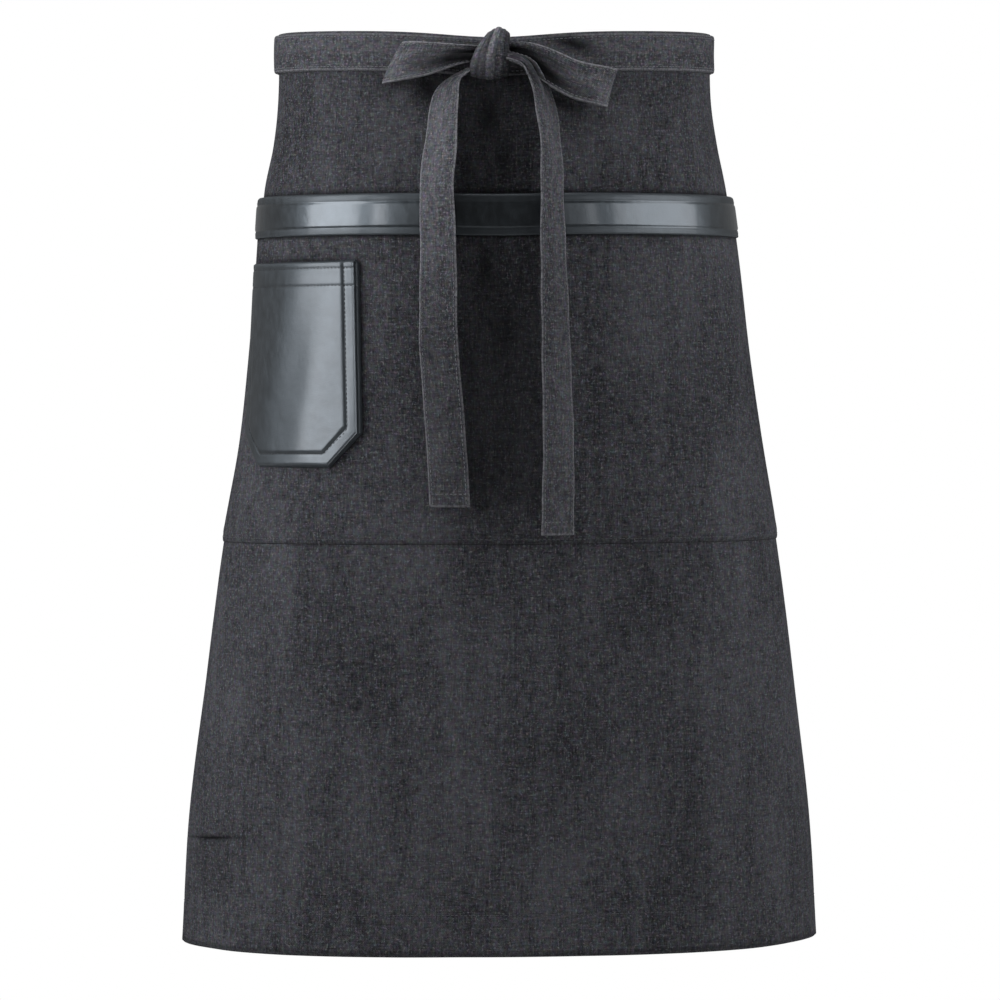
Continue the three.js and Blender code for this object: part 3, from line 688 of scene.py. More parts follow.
def seam(sheet, columns, rows, inner=False, pitch=STITCH_PITCH):
    """Stitches along a line across a sheet's grid, given by fractions of its columns and rows."""
    face = sheet.inner if inner else sheet.outer
    other = sheet.outer if inner else sheet.inner
    fine = np.linspace(0, 1, 1500)
    knots = np.linspace(0, 1, len(columns))
    column, row = np.interp(fine, knots, columns), np.interp(fine, knots, rows)
    line = sheet.at(column, row, face)
    out = line - sheet.at(column, row, other)
    lengths = np.concatenate([[0], np.cumsum(np.linalg.norm(np.diff(line, axis=0), axis=-1))])
    count = max(1, int(lengths[-1] / pitch))
    centres = (np.arange(count) + 0.5) * lengths[-1] / count

    def along_line(values, at):
        return np.stack([np.interp(at, lengths, values[:, axis]) for axis in range(3)], -1)

    middle = along_line(line, centres)
    ahead, behind = [along_line(line, centres + step) for step in (STITCH_LENGTH / 2, -STITCH_LENGTH / 2)]
    way = unit(ahead - behind)
    up = along_line(out, centres)
    up = unit(up - way * np.sum(up * way, -1, keepdims=True))
    side = np.cross(up, way)
    axes = np.stack([way, side, up], 1)
    points = middle[:, None] + np.einsum("pa,nax->npx", SPINDLE_POINTS, axes)
    faces = SPINDLE_FACES[None] + (np.arange(count) * len(SPINDLE_POINTS))[:, None, None]
    return points.reshape(-1, 3), faces.reshape(-1, 4)


def make_stitches(name, seams, material):
    points, faces, total = [], [], 0
    for seam_points, seam_faces in seams:
        points.append(seam_points)
        faces.append(seam_faces + total)
        total += len(seam_points)
    piece = make_object(name, np.concatenate(points), np.concatenate(faces), material)
    print(name, total // len(SPINDLE_POINTS), "stitches")
    return piece


def across_seam(sheet, down, start=1.0, end=None, inner=False):
    """A seam across a sheet at a distance down it."""
    columns, rows = sheet.outer.shape[:2]
    row = np.interp(down, sheet.down[0], np.arange(rows))
    end = columns - 2.0 if end is None else end
    return seam(sheet, np.array([start, end]), np.array([row, row]), inner)


def down_seam(sheet, across, start=1.0, end=None, inner=False):
    """A seam down a sheet at a distance across it."""
    columns, rows = sheet.outer.shape[:2]
    column = np.interp(across, sheet.across[:, 0], np.arange(columns))
    end = rows - 2.0 if end is None else end
    return seam(sheet, np.array([column, column]), np.array([start, end]), inner)


# %% [markdown]
# ## Denim
#
# Denim is a twill: dark warp threads float over pale weft threads in fine slanting ribs. Here both are
# charcoal, spun unevenly, so thick and thin places show as light and dark flecks that run along the
# threads. The material adds noises that are drawn out down the cloth or across it, fine ones and broad
# ones, in metres on the flat pattern, so that the flecks follow each piece's own grain. Folded edges
# rub pale first, which the distance to the edge gives, and a layer of painted light darkens the colour
# where shade is painted and lightens it where light is painted.
# Everything is a table of noises with their shares, so one more kind of fleck is one more row.


# %% The weave of the denim
DENIM_NOISES = {
    # grain across and down the cloth in mm, detail, share in the shade, share in the relief
    "warp": (0.9, 7, 2.0, 0.75, 0.45),
    "weft": (6, 0.9, 2.0, 0.65, 0.35),
    "grain": (1.7, 2.1, 3.0, 0.8, 0.35),
    "slub": (2.1, 19, 2.0, 0.5, 0),
    "pick": (13, 1.9, 2.0, 0.62, 0),
    "blotch": (7, 9, 2.0, 0.65, 0.5),
    "streak": (14, 170, 2.0, 0.4, 0),
    "cloud": (80, 110, 1.5, 0.8, 0),
}
RIB_PITCH, RIB_SLANT = 1.35 * MM, 0.62
RIB_SHADE, RIB_RELIEF = 0.03, 0.12


def weave(tree, place):
    """The noises of the weave, and their sums as its shade and as its relief."""
    across = tree.node("SeparateXYZ", inputs={0: place}, output=0)
    down = tree.node("SeparateXYZ", inputs={0: place}, output=1)
    rib = tree.math("SINE", (across + down * RIB_SLANT) * (2 * np.pi / RIB_PITCH))
    shade, relief, noises = 0.5 + rib * RIB_SHADE, rib * RIB_RELIEF, {}
    for name, (grain_across, grain_down, detail, in_shade, in_relief) in DENIM_NOISES.items():
        noises[name] = tree.noise(place, (grain_across * MM, grain_down * MM), detail)
        shade = shade + (noises[name] - 0.5) * in_shade
        if in_relief:
            relief = relief + noises[name] * in_relief
    return noises, shade, relief


def knops(tree, place, noises):
    """The pale thick places of the yarn, where two noises are high at once or a third one is."""
    along_warp = (noises["warp"] * 0.5 + noises["grain"] * 0.5).rise(0.6, 0.69)
    along_weft = (noises["weft"] * 0.5 + noises["grain"] * 0.5).rise(0.61, 0.69)
    dots = tree.noise(place, (2.8 * MM, 2.3 * MM), 1.0).rise(0.66, 0.76)
    return along_warp * 0.5 + along_weft * 0.4 + dots * 0.45


# %% Denim material
SHADE_RANGE = (-0.25, 1.25)
HUE_SCALE = (300, 240, 1)
HUE_SHARE = 0.3
RUBBED_WIDTH = 1.6 * MM
RUBBED_PALER = 1.25
# The colour where all light is painted out: full painted shade.
PAINTED_SHADE_BLACK = (0.001, 0.001, 0.0012, 1)


def make_denim(name, dark, pale, fleck, wear):
    material = bpy.data.materials.new(name)
    tree = fresh_tree(material)
    place = tree.node("UVMap", {"uv_map": "pattern"})
    edge = tree.node("Attribute", {"attribute_name": "edge"}, output=2)
    # The painted light of each point, which paints shade and light into the colour.
    dye = tree.node("Attribute", {"attribute_name": "dye"}, output=2)
    noises, shade, relief = weave(tree, place)
    thread = shade.rise(*SHADE_RANGE).blend((*dark, 1), (*pale, 1))
    flecked = knops(tree, place, noises).blend(thread, (*fleck, 1))
    stretched = tree.node("Mapping", {"vector_type": "POINT"}, {"Vector": place, "Scale": HUE_SCALE})
    hues = tree.node("TexNoise", {"noise_dimensions": "2D"}, {"Vector": stretched, "Scale": 1.0}, output=1)
    overlay = {"data_type": "RGBA", "blend_type": "OVERLAY"}
    tinted = tree.node("Mix", overlay, {0: HUE_SHARE, 6: flecked, 7: hues}, output=2)
    rubbed = edge.rise(0.0, RUBBED_WIDTH, wear, 0.0) * noises["grain"].rise(0.3, 0.6, 0.35, 1.0)
    faded = rubbed.blend(tinted, (*[value * RUBBED_PALER for value in fleck], 1))
    # A painted light above one makes the cloth lighter than usual, so this mix isn't clamped; below one it
    # paints shade.
    unclamped = {"data_type": "RGBA", "clamp_factor": False}
    colour = tree.node("Mix", unclamped, {0: dye, 6: PAINTED_SHADE_BLACK, 7: faded}, output=2)
    bump = tree.node("Bump", inputs={"Height": relief, "Strength": 0.6, "Distance": 0.4 * MM})
    matt_skin = {"Base Color": colour, "Roughness": 0.9, "Specular IOR Level": 0.12, "Normal": bump}
    skin = tree.node("BsdfPrincipled", inputs=matt_skin)
    tree.node("OutputMaterial", inputs={"Surface": skin})
    return material


DENIM_SHADES = {
    # dark threads, pale threads, flecks, and how far the edges are rubbed
    "denim": ((0.0116, 0.0114, 0.013), (0.0735, 0.0725, 0.0795), (0.14, 0.138, 0.146), 0.3),
    "band_denim": ((0.018, 0.0178, 0.02), (0.1, 0.0985, 0.107), (0.17, 0.168, 0.176), 0.5),
    "tie_denim": ((0.019, 0.0187, 0.021), (0.105, 0.103, 0.112), (0.19, 0.187, 0.195), 0.6),
}
denim, band_denim, tie_denim = [make_denim(name, *shades) for name, shades in DENIM_SHADES.items()]
print("denims:", ", ".join(DENIM_SHADES))


# %% Thread
def make_thread(name, colour):
    material = bpy.data.materials.new(name)
    tree = fresh_tree(material)
    place = tree.node("TexCoord", output=3)
    twist = tree.node("TexNoise", inputs={"Vector": place, "Scale": 1400.0, "Detail": 1.0})
    shade = twist.rise(0.3, 0.7).blend((*[value * 0.6 for value in colour], 1), (*colour, 1))
    bump = tree.node("Bump", inputs={"Height": twist, "Strength": 0.4, "Distance": 0.1 * MM})
    skin = tree.node("BsdfPrincipled", inputs={"Base Color": shade, "Roughness": 0.7, "Normal": bump})
    tree.node("OutputMaterial", inputs={"Surface": skin})
    return material


grey_thread = make_thread("grey_thread", (0.062, 0.062, 0.067))
tie_thread = make_thread("tie_thread", (0.15, 0.15, 0.16))
black_thread = make_thread("black_thread", (0.03, 0.031, 0.034))

# %% [markdown]
# ## Leather
#
# The trim and the small pocket are smooth black leather with a soft gloss. Black shows almost no
# colour of its own: what is seen is the lamps in it. So the work goes into roughness and bump: a fine
# pebble grain, a slow unevenness that bends the highlights, and a duller strip outside the stitches.
# The trim is polished, and the pocket, which hands rub, shines more broadly.


# %% Leather material
LEATHER_BLACK = (0.004, 0.0046, 0.0054, 1)
LEATHER_RUBBED = (0.018, 0.02, 0.022, 1)
WORN_RIM = 1.4 * MM
DULL_STRIP = (4.4 * MM, 5.0 * MM)  # where the duller strip outside the stitches ends
STRIP_ROUGHER, STRIP_BARER = 0.16, 0.42
VARNISH = 0.6
SHINE_UNEVENNESS, VARNISH_UNEVENNESS = 0.25, 0.4


def make_leather(name, body_gloss, coat_gloss, dulled):
    """Leather under varnish: the roughness of both, and how dull the strip at its edge is."""
    material = bpy.data.materials.new(name)
    tree = fresh_tree(material)
    place = tree.node("UVMap", {"uv_map": "pattern"})
    edge = tree.node("Attribute", {"attribute_name": "edge"}, output=2)
    scaled = tree.node("Mapping", {"vector_type": "POINT"}, {"Vector": place, "Scale": (1000, 1000, 1)})
    pebble = tree.node(
        "TexVoronoi",
        {"voronoi_dimensions": "2D", "feature": "SMOOTH_F1"},
        {"Vector": scaled, "Scale": 0.95, "Smoothness": 0.6, "Randomness": 1.0},
    )
    slow = tree.noise(place, (22 * MM, 16 * MM), 2.0)
    smear = tree.noise(place, (6 * MM, 11 * MM), 3.0)
    worn = edge.rise(0.0, WORN_RIM, 1.0, 0.0)
    strip = edge.rise(*DULL_STRIP, 1.0, 0.0)
    colour = (worn * 0.6 + (smear - 0.5) * 0.5).blend(LEATHER_BLACK, LEATHER_RUBBED)
    uneven = (smear - 0.5) * SHINE_UNEVENNESS
    roughness = body_gloss + uneven + worn * 0.1 + strip * (STRIP_ROUGHER * dulled)
    varnish = VARNISH - strip * (STRIP_BARER * dulled) + (smear - 0.5) * VARNISH_UNEVENNESS
    height = (1 - pebble) * 0.14 + slow * 1.9 + smear * 0.8
    bump = tree.node("Bump", inputs={"Height": height, "Strength": 0.5, "Distance": 0.4 * MM})
    skin = tree.node(
        "BsdfPrincipled",
        inputs={
            "Base Color": colour,
            "Roughness": roughness,
            "Specular IOR Level": 0.85,
            "Specular Tint": (0.85, 0.94, 1.0, 1),
            "Coat Weight": varnish,
            "Coat Roughness": coat_gloss,
            "Coat Tint": (0.93, 0.97, 1.0, 1),
            "Normal": bump,
        },
    )
    tree.node("OutputMaterial", inputs={"Surface": skin})
    return material


trim_leather = make_leather("trim_leather", 0.36, 0.14, 1.0)
pocket_leather = make_leather("pocket_leather", 0.46, 0.24, 0.1)
print("leathers:", trim_leather.name, "and", pocket_leather.name)

# %% [markdown]
# ## Panel
#
# The panel is one width of denim, folded over twice at its sides and hem, which shows from outside as a
# stitch line with a faint ridge beside it and from inside as a doubled border. Both faces are grids over
# the pattern. The inner one steps in at the hems, and both sink a little under the stitches.

# %% Panel
CLOTH = 1.2 * MM
SIDE_HEM = 16 * MM
BOTTOM_HEM = 32 * MM
HEM_STEP = 1.5 * MM
STITCH_INSET = 2 * MM
SEAM_SINK = 0.3 * MM
SEAM_BREADTH = 1.3 * MM
GRID = 4.6 * MM
SIDE_SEAM = HALF_PANEL - SIDE_HEM + STITCH_INSET
BOTTOM_SEAM = PANEL_LENGTH - BOTTOM_HEM + STITCH_INSET


def grid(across, down):
    return np.meshgrid(across, down, indexing="ij")


def hem_share(along, down):
    side = (np.abs(along) - (HALF_PANEL - SIDE_HEM)) / HEM_STEP
    bottom = (down - (PANEL_LENGTH - BOTTOM_HEM)) / HEM_STEP
    return np.clip(np.maximum(side, bottom), 0, 1)


def hem_line(along, down):
    """How far a place is from the stitches of the panel's hems."""
    return np.minimum(np.abs(np.abs(along) - SIDE_SEAM), np.abs(down - BOTTOM_SEAM))


def panel_off(along, down):
    from_seam = hem_line(along, down)
    pucker = 0.12 * MM * np.sin(2 * np.pi * (along + down) / (11 * MM)) * bell(from_seam / (5 * MM))
    return pucker - SEAM_SINK * bell(from_seam / SEAM_BREADTH)


# The rows and columns stand closer where a hem, a seam, the crease or the pocket's mouth needs them.
hem_edges = np.array([HALF_PANEL - SIDE_HEM, HALF_PANEL - SIDE_HEM + HEM_STEP, SIDE_SEAM])
panel_columns = [tight_steps(-HALF_PANEL, HALF_PANEL, GRID), hem_edges, -hem_edges]
hem_rows = PANEL_LENGTH - BOTTOM_HEM + np.array([0, HEM_STEP, STITCH_INSET + 1 * MM])
crease_rows = (CREASES[0][1] + np.arange(-7, 8, 0.9)) * MM
mouth_rows = POCKET_TOP + np.arange(-7, 4, 1.1) * MM
panel_rows = [tight_steps(0, PANEL_LENGTH, GRID), hem_rows, crease_rows, mouth_rows]
panel_down = np.unique(np.concatenate(panel_rows))
along, down = grid(np.unique(np.concatenate(panel_columns)), panel_down)
panel_outer = layer_point(along, down, panel_off(along, down))
panel_inner = layer_point(along, down, panel_off(along, down) - CLOTH * (1 + hem_share(along, down)))
panel_sheet = Sheet(panel_outer, panel_inner, along, down)
# Painted shade on the panel: the window between the ties, painted shadows and painted shade lines.
panel_sheet.dye = dye_at(along, down)
panel = make_cloth("skirt_panel_cloth", panel_sheet, denim)
panel_seams = []
for inner in (False, True):
    panel_seams.append(across_seam(panel_sheet, BOTTOM_SEAM, inner=inner))
    panel_seams += [down_seam(panel_sheet, side * SIDE_SEAM, inner=inner) for side in (-1, 1)]
panel_stitches = make_stitches("skirt_panel_stitches", panel_seams, grey_thread)
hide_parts("skirt_panel")

# %% [markdown]
# ## Waistband
#
# The waistband is a strip folded over the panel's raw top edge and sewn through. A curve drawn once, up
# the outside, over the edge and down the inside, is its section, and the grid follows that all along.


# %% Folded strips
def folded_profile(bottom_out, top, bottom_in, out, inside, bend_steps=6, leaf_steps=5):
    """The section of a strip folded over an edge, as pairs of offset and distance down."""
    radius = (out - inside) / 2
    turns = np.linspace(0, np.pi, bend_steps + 1)
    bend_off = (out + inside) / 2 + radius * np.cos(turns)
    bend_down = top + radius * (1 - np.sin(turns))
    front = np.linspace(bottom_out, bend_down[0], leaf_steps + 1)[:-1]
    rear = np.linspace(bend_down[-1], bottom_in, leaf_steps + 1)[1:]
    off = np.concatenate([np.full(leaf_steps, out), bend_off, np.full(leaf_steps, inside)])
    return off, np.concatenate([front, bend_down, rear])


def grid_normal(points):
    return unit(np.cross(np.gradient(points, axis=1), np.gradient(points, axis=0)))


def sheet_round(middles, thickness, across, down, edge=None):
    """A sheet of even thickness round a grid of its middle surface."""
    half = grid_normal(middles) * (thickness / 2)
    return Sheet(middles + half, middles - half, across, down, edge)


def unrolled_lengths(off, drop):
    """How far along its section each corner of a folded strip lies."""
    return np.concatenate([[0], np.cumsum(np.hypot(np.diff(off), np.diff(drop)))])


GAP = 0.4 * MM
BAND_STEP = 4 * MM
band_out = GAP + CLOTH / 2
band_in = -2 * CLOTH - GAP - CLOTH / 2
off, drop = folded_profile(
    WAISTBAND_HEIGHT, -GAP - CLOTH / 2, WAISTBAND_HEIGHT, band_out, band_in, leaf_steps=12
)
band_across = tight_steps(-HALF_PANEL, HALF_PANEL, BAND_STEP)
along, row = grid(band_across, np.arange(len(off)))
band_middle = layer_point(along, drop[row], off[row])
unrolled = unrolled_lengths(off, drop)
band_sheet = sheet_round(band_middle, CLOTH, along, unrolled[row])
# Painted shade on the waistband from the same table.
band_sheet.dye = dye_at(along, np.maximum(drop[row], 0))  # by height, not along the section
band = make_cloth("waistband_cloth", band_sheet, band_denim)
band_seams = [across_seam(band_sheet, STITCH_INSET), across_seam(band_sheet, unrolled[-1] - STITCH_INSET)]
band_stitches = make_stitches("waistband_stitches", band_seams, grey_thread)
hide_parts("waistband")

# %% [markdown]
# ## Patch pocket
#
# The pocket lies over the panel like a second skin, a little wider than it, so that its mouth gapes
# at the front. Its sides and bottom are turned under and topstitched. There the cloth dips to the
# stitches and rolls down to the panel at the very edge, which draws the thin dark line below the seam,
# and painted shade along the edge darkens it further.

# %% Patch pocket
POCKET_WIDTH = 640 * MM
HALF_POCKET = POCKET_WIDTH / 2
POCKET_HEIGHT = 258 * MM
POCKET_BOTTOM = POCKET_TOP + POCKET_HEIGHT
POCKET_GAPE = 8 * MM
TOPSTITCH = 3.5 * MM
EDGE_ROLL = 1.6 * MM


def gape_at(along, down):
    depth = np.clip((down - POCKET_TOP) / POCKET_HEIGHT, 0, 1)
    across = np.clip(np.abs(along) / HALF_POCKET, 0, 1)
    return POCKET_GAPE * np.sqrt(1 - depth**2) * (1 - across**2) ** 2.6


def pocket_edge(along, down):
    """How far a place is from the pocket's sewn sides and bottom."""
    return np.minimum(HALF_POCKET - np.abs(along), POCKET_BOTTOM - down)


def pocket_outer(along, down):
    edge = pocket_edge(along, down)
    roll = 0.9 * MM * bell(np.clip(edge, 0, None) / EDGE_ROLL)
    sink = 0.35 * MM * bell((edge - TOPSTITCH) / SEAM_BREADTH)
    pucker = 0.15 * MM * np.sin(2 * np.pi * (along - down) / (13 * MM)) * bell((edge - 9 * MM) / (6 * MM))
    return GAP + CLOTH + gape_at(along, down) - roll - sink + pucker


# The rows stand closer under the trim's edge, at the small pocket's mouth and at the bottom seam.
pocket_rows = [
    tight_steps(POCKET_TOP, POCKET_BOTTOM, GRID),
    POCKET_TOP + np.arange(27, 34, 0.9) * MM,
    POCKET_TOP + np.arange(43, 52, 1.2) * MM,
    POCKET_BOTTOM - np.array([2.4, 3.5, 4.6, 7.0, 10.0]) * MM,
]
pocket_across = tight_steps(-HALF_POCKET, HALF_POCKET, GRID)
along, down = grid(pocket_across, np.unique(np.concatenate(pocket_rows)))
pocket_face = layer_point(along, down, pocket_outer(along, down))
pocket_back = layer_point(along, down, np.maximum(pocket_outer(along, down) - CLOTH, 0.1 * MM))
pocket_sheet = Sheet(pocket_face, pocket_back, along, down)
# Painted shade from the panel's table, and a painted shade line along the pocket's sewn edges.
pocket_sheet.dye = dye_at(along, down) * (1 - 0.6 * bell(pocket_edge(along, down) / (1.2 * MM)))
pocket = make_cloth("patch_pocket_cloth", pocket_sheet, denim)
pocket_seams = [
    across_seam(pocket_sheet, POCKET_BOTTOM - TOPSTITCH),
    down_seam(pocket_sheet, -HALF_POCKET + TOPSTITCH),
    down_seam(pocket_sheet, HALF_POCKET - TOPSTITCH),
]
pocket_stitches = make_stitches("patch_pocket_stitches", pocket_seams, grey_thread)
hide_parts("patch_pocket")

# %% [markdown]
# ## Leather trim
#
# A leather strip binds the pocket's mouth. It is folded over the edge like the waistband, and a row of
# stitches near each of its long edges pulls it down, so that the leather swells between them.

# %% Leather trim
LEATHER = 1.4 * MM
TRIM_HEIGHT = 29 * MM
TRIM_STITCH = 4.8 * MM
TRIM_SINK = 0.6 * MM
TRIM_SWELL = 0.55 * MM
TRIM_TURN = 12 * MM
TRIM_LEAF_STEPS = 28
TRIM_STEP = 5 * MM


def trim_relief(down):
    """The swell of the leather between its two rows of stitches."""
    edge = np.minimum(down - POCKET_TOP, POCKET_TOP + TRIM_HEIGHT - down)
    groove = bell((edge - TRIM_STITCH) / (0.9 * MM))
    return TRIM_SWELL * smooth(edge / (1.4 * TRIM_STITCH)) - TRIM_SINK * groove


def trim_rim(down):
    """How far a place on the outer leaf is from its fold and from its lower edge."""
    return np.clip(np.minimum(down - POCKET_TOP, POCKET_TOP + TRIM_HEIGHT - down), 0, None)


off, drop = folded_profile(
    POCKET_TOP + TRIM_HEIGHT,
    POCKET_TOP - 0.6 * MM,
    POCKET_TOP + TRIM_TURN,
    CLOTH + 0.3 * MM + LEATHER / 2,
    -0.3 * MM - LEATHER / 2,
    bend_steps=8,
    leaf_steps=TRIM_LEAF_STEPS,
)
along, row = grid(tight_steps(-HALF_POCKET, HALF_POCKET, TRIM_STEP), np.arange(len(off)))
outer_leaf = (row <= TRIM_LEAF_STEPS) * 1.0
trim_off = off[row] + outer_leaf * trim_relief(drop[row]) + gape_at(along, drop[row]) + GAP
trim_middle = layer_point(along, drop[row], np.maximum(trim_off, 0.4 * MM))
unrolled = unrolled_lengths(off, drop)
trim_edge = np.where(outer_leaf > 0, trim_rim(drop[row]), 0)
trim_sheet = sheet_round(trim_middle, LEATHER, along, unrolled[row], trim_edge)
trim = make_cloth("pocket_trim_leather", trim_sheet, trim_leather)
trim_seams = [across_seam(trim_sheet, TRIM_STITCH), across_seam(trim_sheet, TRIM_HEIGHT - TRIM_STITCH)]
trim_stitches = make_stitches("pocket_trim_stitches", trim_seams, black_thread)
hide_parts("pocket_trim")

# %% [markdown]
# ## Leather pocket
#
# The small pocket is one piece of leather with its lower corners cut off. A border, sewn flat, frames
# its front, with a groove pressed in where the stitches run. Its top is folded back and stitched twice.
# Every one of these is a distance from an edge, so one relief function makes them all, chamfers too.

# %% Leather pocket
SMALL_WIDTH = 122 * MM
SMALL_HEIGHT = 151 * MM
SMALL_TOP = POCKET_TOP + 50 * MM
SMALL_SIDE = 164 * MM
CHAMFER = 25 * MM
BORDER = 9 * MM
BORDER_RISE = 3.3 * MM
BAG_RISE = 4.2 * MM
BORDER_SLOPE, BAG_SLOPE = 2.2 * MM, 2.6 * MM
GROOVE_DEPTH, GROOVE_BREADTH = 0.42 * MM, 0.8 * MM
MOUTH_GROOVE_DEPTH = 0.4 * MM
WEDGE = 3 * MM
SLUMP = 0.5 * MM
BAG_WAVE, BAG_WAVE_LENGTH = 0.25 * MM, 47 * MM
TOP_STITCHES = (4 * MM, 17 * MM)


def small_edge(across, down):
    """How far a place is from the pocket's sewn edges, its chamfers among them."""
    half = SMALL_WIDTH / 2
    side = half - np.abs(across)
    bottom = SMALL_HEIGHT - down
    corner = (side + bottom - CHAMFER) / np.sqrt(2)
    return np.minimum(np.minimum(side, bottom), corner)


def small_relief(across, down):
    """The height of the leather over the cloth: its border, its bag, and what is pressed into them."""
    edge = small_edge(across, down)
    border = BORDER_RISE * smooth((edge + 0.4 * MM) / BORDER_SLOPE) ** 0.5
    bag = (BAG_RISE - BORDER_RISE) * smooth((edge - BORDER) / BAG_SLOPE)
    groove = GROOVE_DEPTH * bell((edge - BORDER) / GROOVE_BREADTH)
    mouth = sum(bell((down - line) / (0.9 * MM)) for line in TOP_STITCHES) * (edge > 1 * MM)
    slump = SLUMP * bell((down - 0.78 * SMALL_HEIGHT) / (26 * MM)) * bell(across / (34 * MM))
    bag = bag + WEDGE * (across / SMALL_WIDTH + 0.5) ** 1.5
    wave = BAG_WAVE * np.sin(2 * np.pi * (across + 0.3 * down) / BAG_WAVE_LENGTH + 0.6)
    raised = border + bag + slump + wave * smooth(edge / (12 * MM))
    return raised - groove - MOUTH_GROOVE_DEPTH * mouth


# The grid's columns are shares of the half width, so that they draw in with the chamfers.
shares = tight_steps(-1.0, 1.0, 0.018, edge=0.02)
small_down = np.unique(
    np.concatenate([tight_steps(0, SMALL_HEIGHT, 1.1 * MM), [SMALL_HEIGHT - CHAMFER], TOP_STITCHES])
)
share, local_down = grid(shares, small_down)
pinch = np.maximum(0, local_down - (SMALL_HEIGHT - CHAMFER))
local_across = share * (SMALL_WIDTH / 2 - pinch)
along, down = local_across - SMALL_SIDE, SMALL_TOP + local_down
under = GAP + CLOTH + gape_at(along, down) + 0.15 * MM
small_face = layer_point(along, down, under + small_relief(local_across, local_down))
hollow = (BAG_RISE - LEATHER) * smooth((small_edge(local_across, local_down) - BORDER) / (3 * MM))
small_back = layer_point(along, down, under + hollow)
rim = np.minimum(small_edge(local_across, local_down), local_down)
small_rim = np.maximum(rim, 0) * TRIM_STITCH / BORDER  # the material's dull strip fits the trim
small_sheet = Sheet(small_face, small_back, local_across, local_down, small_rim)
small = make_cloth("leather_pocket_leather", small_sheet, pocket_leather)


def small_seam(corners):
    """A seam through places on the small pocket, each a pair across and down."""
    shares_at, rows_at = [], []
    for across_at, down_at in corners:
        half = SMALL_WIDTH / 2 - max(0, down_at - (SMALL_HEIGHT - CHAMFER))
        shares_at.append(np.interp(across_at / half, shares, np.arange(len(shares))))
        rows_at.append(np.interp(down_at, small_down, np.arange(len(small_down))))
    seams = [
        seam(small_sheet, np.array(shares_at[i : i + 2]), np.array(rows_at[i : i + 2]))
        for i in range(len(corners) - 1)
    ]
    return seams


inset = SMALL_WIDTH / 2 - BORDER
cut = CHAMFER - BORDER * (2 - np.sqrt(2))
foot = SMALL_HEIGHT - BORDER
groove_path = [
    (-inset, 2 * MM),
    (-inset, foot - cut),
    (-inset + cut, foot),
    (inset - cut, foot),
    (inset, foot - cut),
    (inset, 2 * MM),
]
small_seams = small_seam(groove_path)
for line in TOP_STITCHES:
    small_seams += small_seam([(-SMALL_WIDTH / 2 + 2 * MM, line), (SMALL_WIDTH / 2 - 2 * MM, line)])
small_stitches = make_stitches("leather_pocket_stitches", small_seams, black_thread)
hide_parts("leather_pocket")

# %% [markdown]
# ## Ties round the waist
#
# Each tie is a strip of denim sewn double, with a row of stitches along both edges. It starts at the
# waistband's end on the other side, climbs or drops past its twin behind the back, and comes round over
# the waistband to the front. The whole way is one row of stations round the form.

# %% Ties round the waist
TIE_WIDTH = 30 * MM
WRAP_WIDTH = 27 * MM
TIE = 1.6 * MM
TIE_STITCH = 2.2 * MM
CROSSING_GAP = 3 * MM
CROSSING_DROP = 10 * MM
CROSSING_HALF_LENGTH = 24 * MM
TIE_END_GAP = 2 * MM
TIE_EASE = 0.35 * MM
wrap_off = GAP + CLOTH + GAP


def strip_seams(sheet, width, inner):
    return [down_seam(sheet, side * (width / 2 - TIE_STITCH), inner=inner) for side in (-1, 1)]


def strip_stitches(name, sheet, width):
    seams = strip_seams(sheet, width, False) + strip_seams(sheet, width, True)
    return make_stitches(name, seams, tie_thread)


def strip_relief(v, width):
    """A double strip's section: pressed down at the stitches, full between them, rolled at the edges."""
    edge = width / 2 - np.abs(v)
    return -0.25 * MM * bell((edge - TIE_STITCH) / (0.9 * MM)) - 0.45 * MM * bell(edge / (0.8 * MM))


def press_strip(sheet, relief, inner_share=0.6):
    """Raises both faces of a strip by its relief, the inner one by less."""
    outwards_by = (sheet.outer - sheet.inner) / TIE * relief[..., None]
    sheet.outer = sheet.outer + outwards_by
    sheet.inner = sheet.inner - outwards_by * inner_share


def make_wrap(name, node, side, lift):
    half = half_girth(WAISTBAND_HEIGHT / 2)
    root = 2 * half_girth(0) - HALF_PANEL - GAP
    far_end = HALF_PANEL - (root - HALF_PANEL) / 2
    start, end = half - CROSSING_HALF_LENGTH, half + CROSSING_HALF_LENGTH
    s = tight_steps(TIE_END_GAP / 2, root, 5 * MM)
    rising = smooth((s - far_end) / (start - far_end))
    falling = 1 - smooth((s - end) / (root - end))
    crossing = lift * (WRAP_WIDTH + CROSSING_GAP) / 2 - CROSSING_DROP
    climb = crossing * np.minimum(rising, falling)
    off = mix(wrap_off, 0, smooth((s - start) / (end - start)))
    v = tight_steps(-WRAP_WIDTH / 2, WRAP_WIDTH / 2, 2 * MM)
    vv, ss = grid(v, s)
    relief = strip_relief(vv, WRAP_WIDTH)
    sway = 0.5 * MM * np.sin(2 * np.pi * ss / (61 * MM) + side) * bell(vv / (12 * MM))
    down = WAISTBAND_HEIGHT / 2 - climb[None] + vv
    base = off[None] + TIE_EASE + TIE_EASE * np.sin(2 * np.pi * ss / (83 * MM))
    outer = layer_point(side * ss, down, base + TIE + relief + sway)
    inner = layer_point(side * ss, down, base - 0.5 * relief + sway * 0.5)
    sheet = Sheet(outer, inner, vv, ss)
    # Painted shade from the panel's table where the ties cross it.
    sheet.dye = dye_at(side * ss, down)
    tie = make_cloth(name, sheet, tie_denim)
    stitches = strip_stitches(name.replace("cloth", "stitches"), sheet, WRAP_WIDTH)
    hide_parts(node)
    print(name, round(root / MM), "mm of tie")


make_wrap("tie_round_right_cloth", "tie_round_right", 1, 1)
make_wrap("tie_round_left_cloth", "tie_round_left", -1, -1)
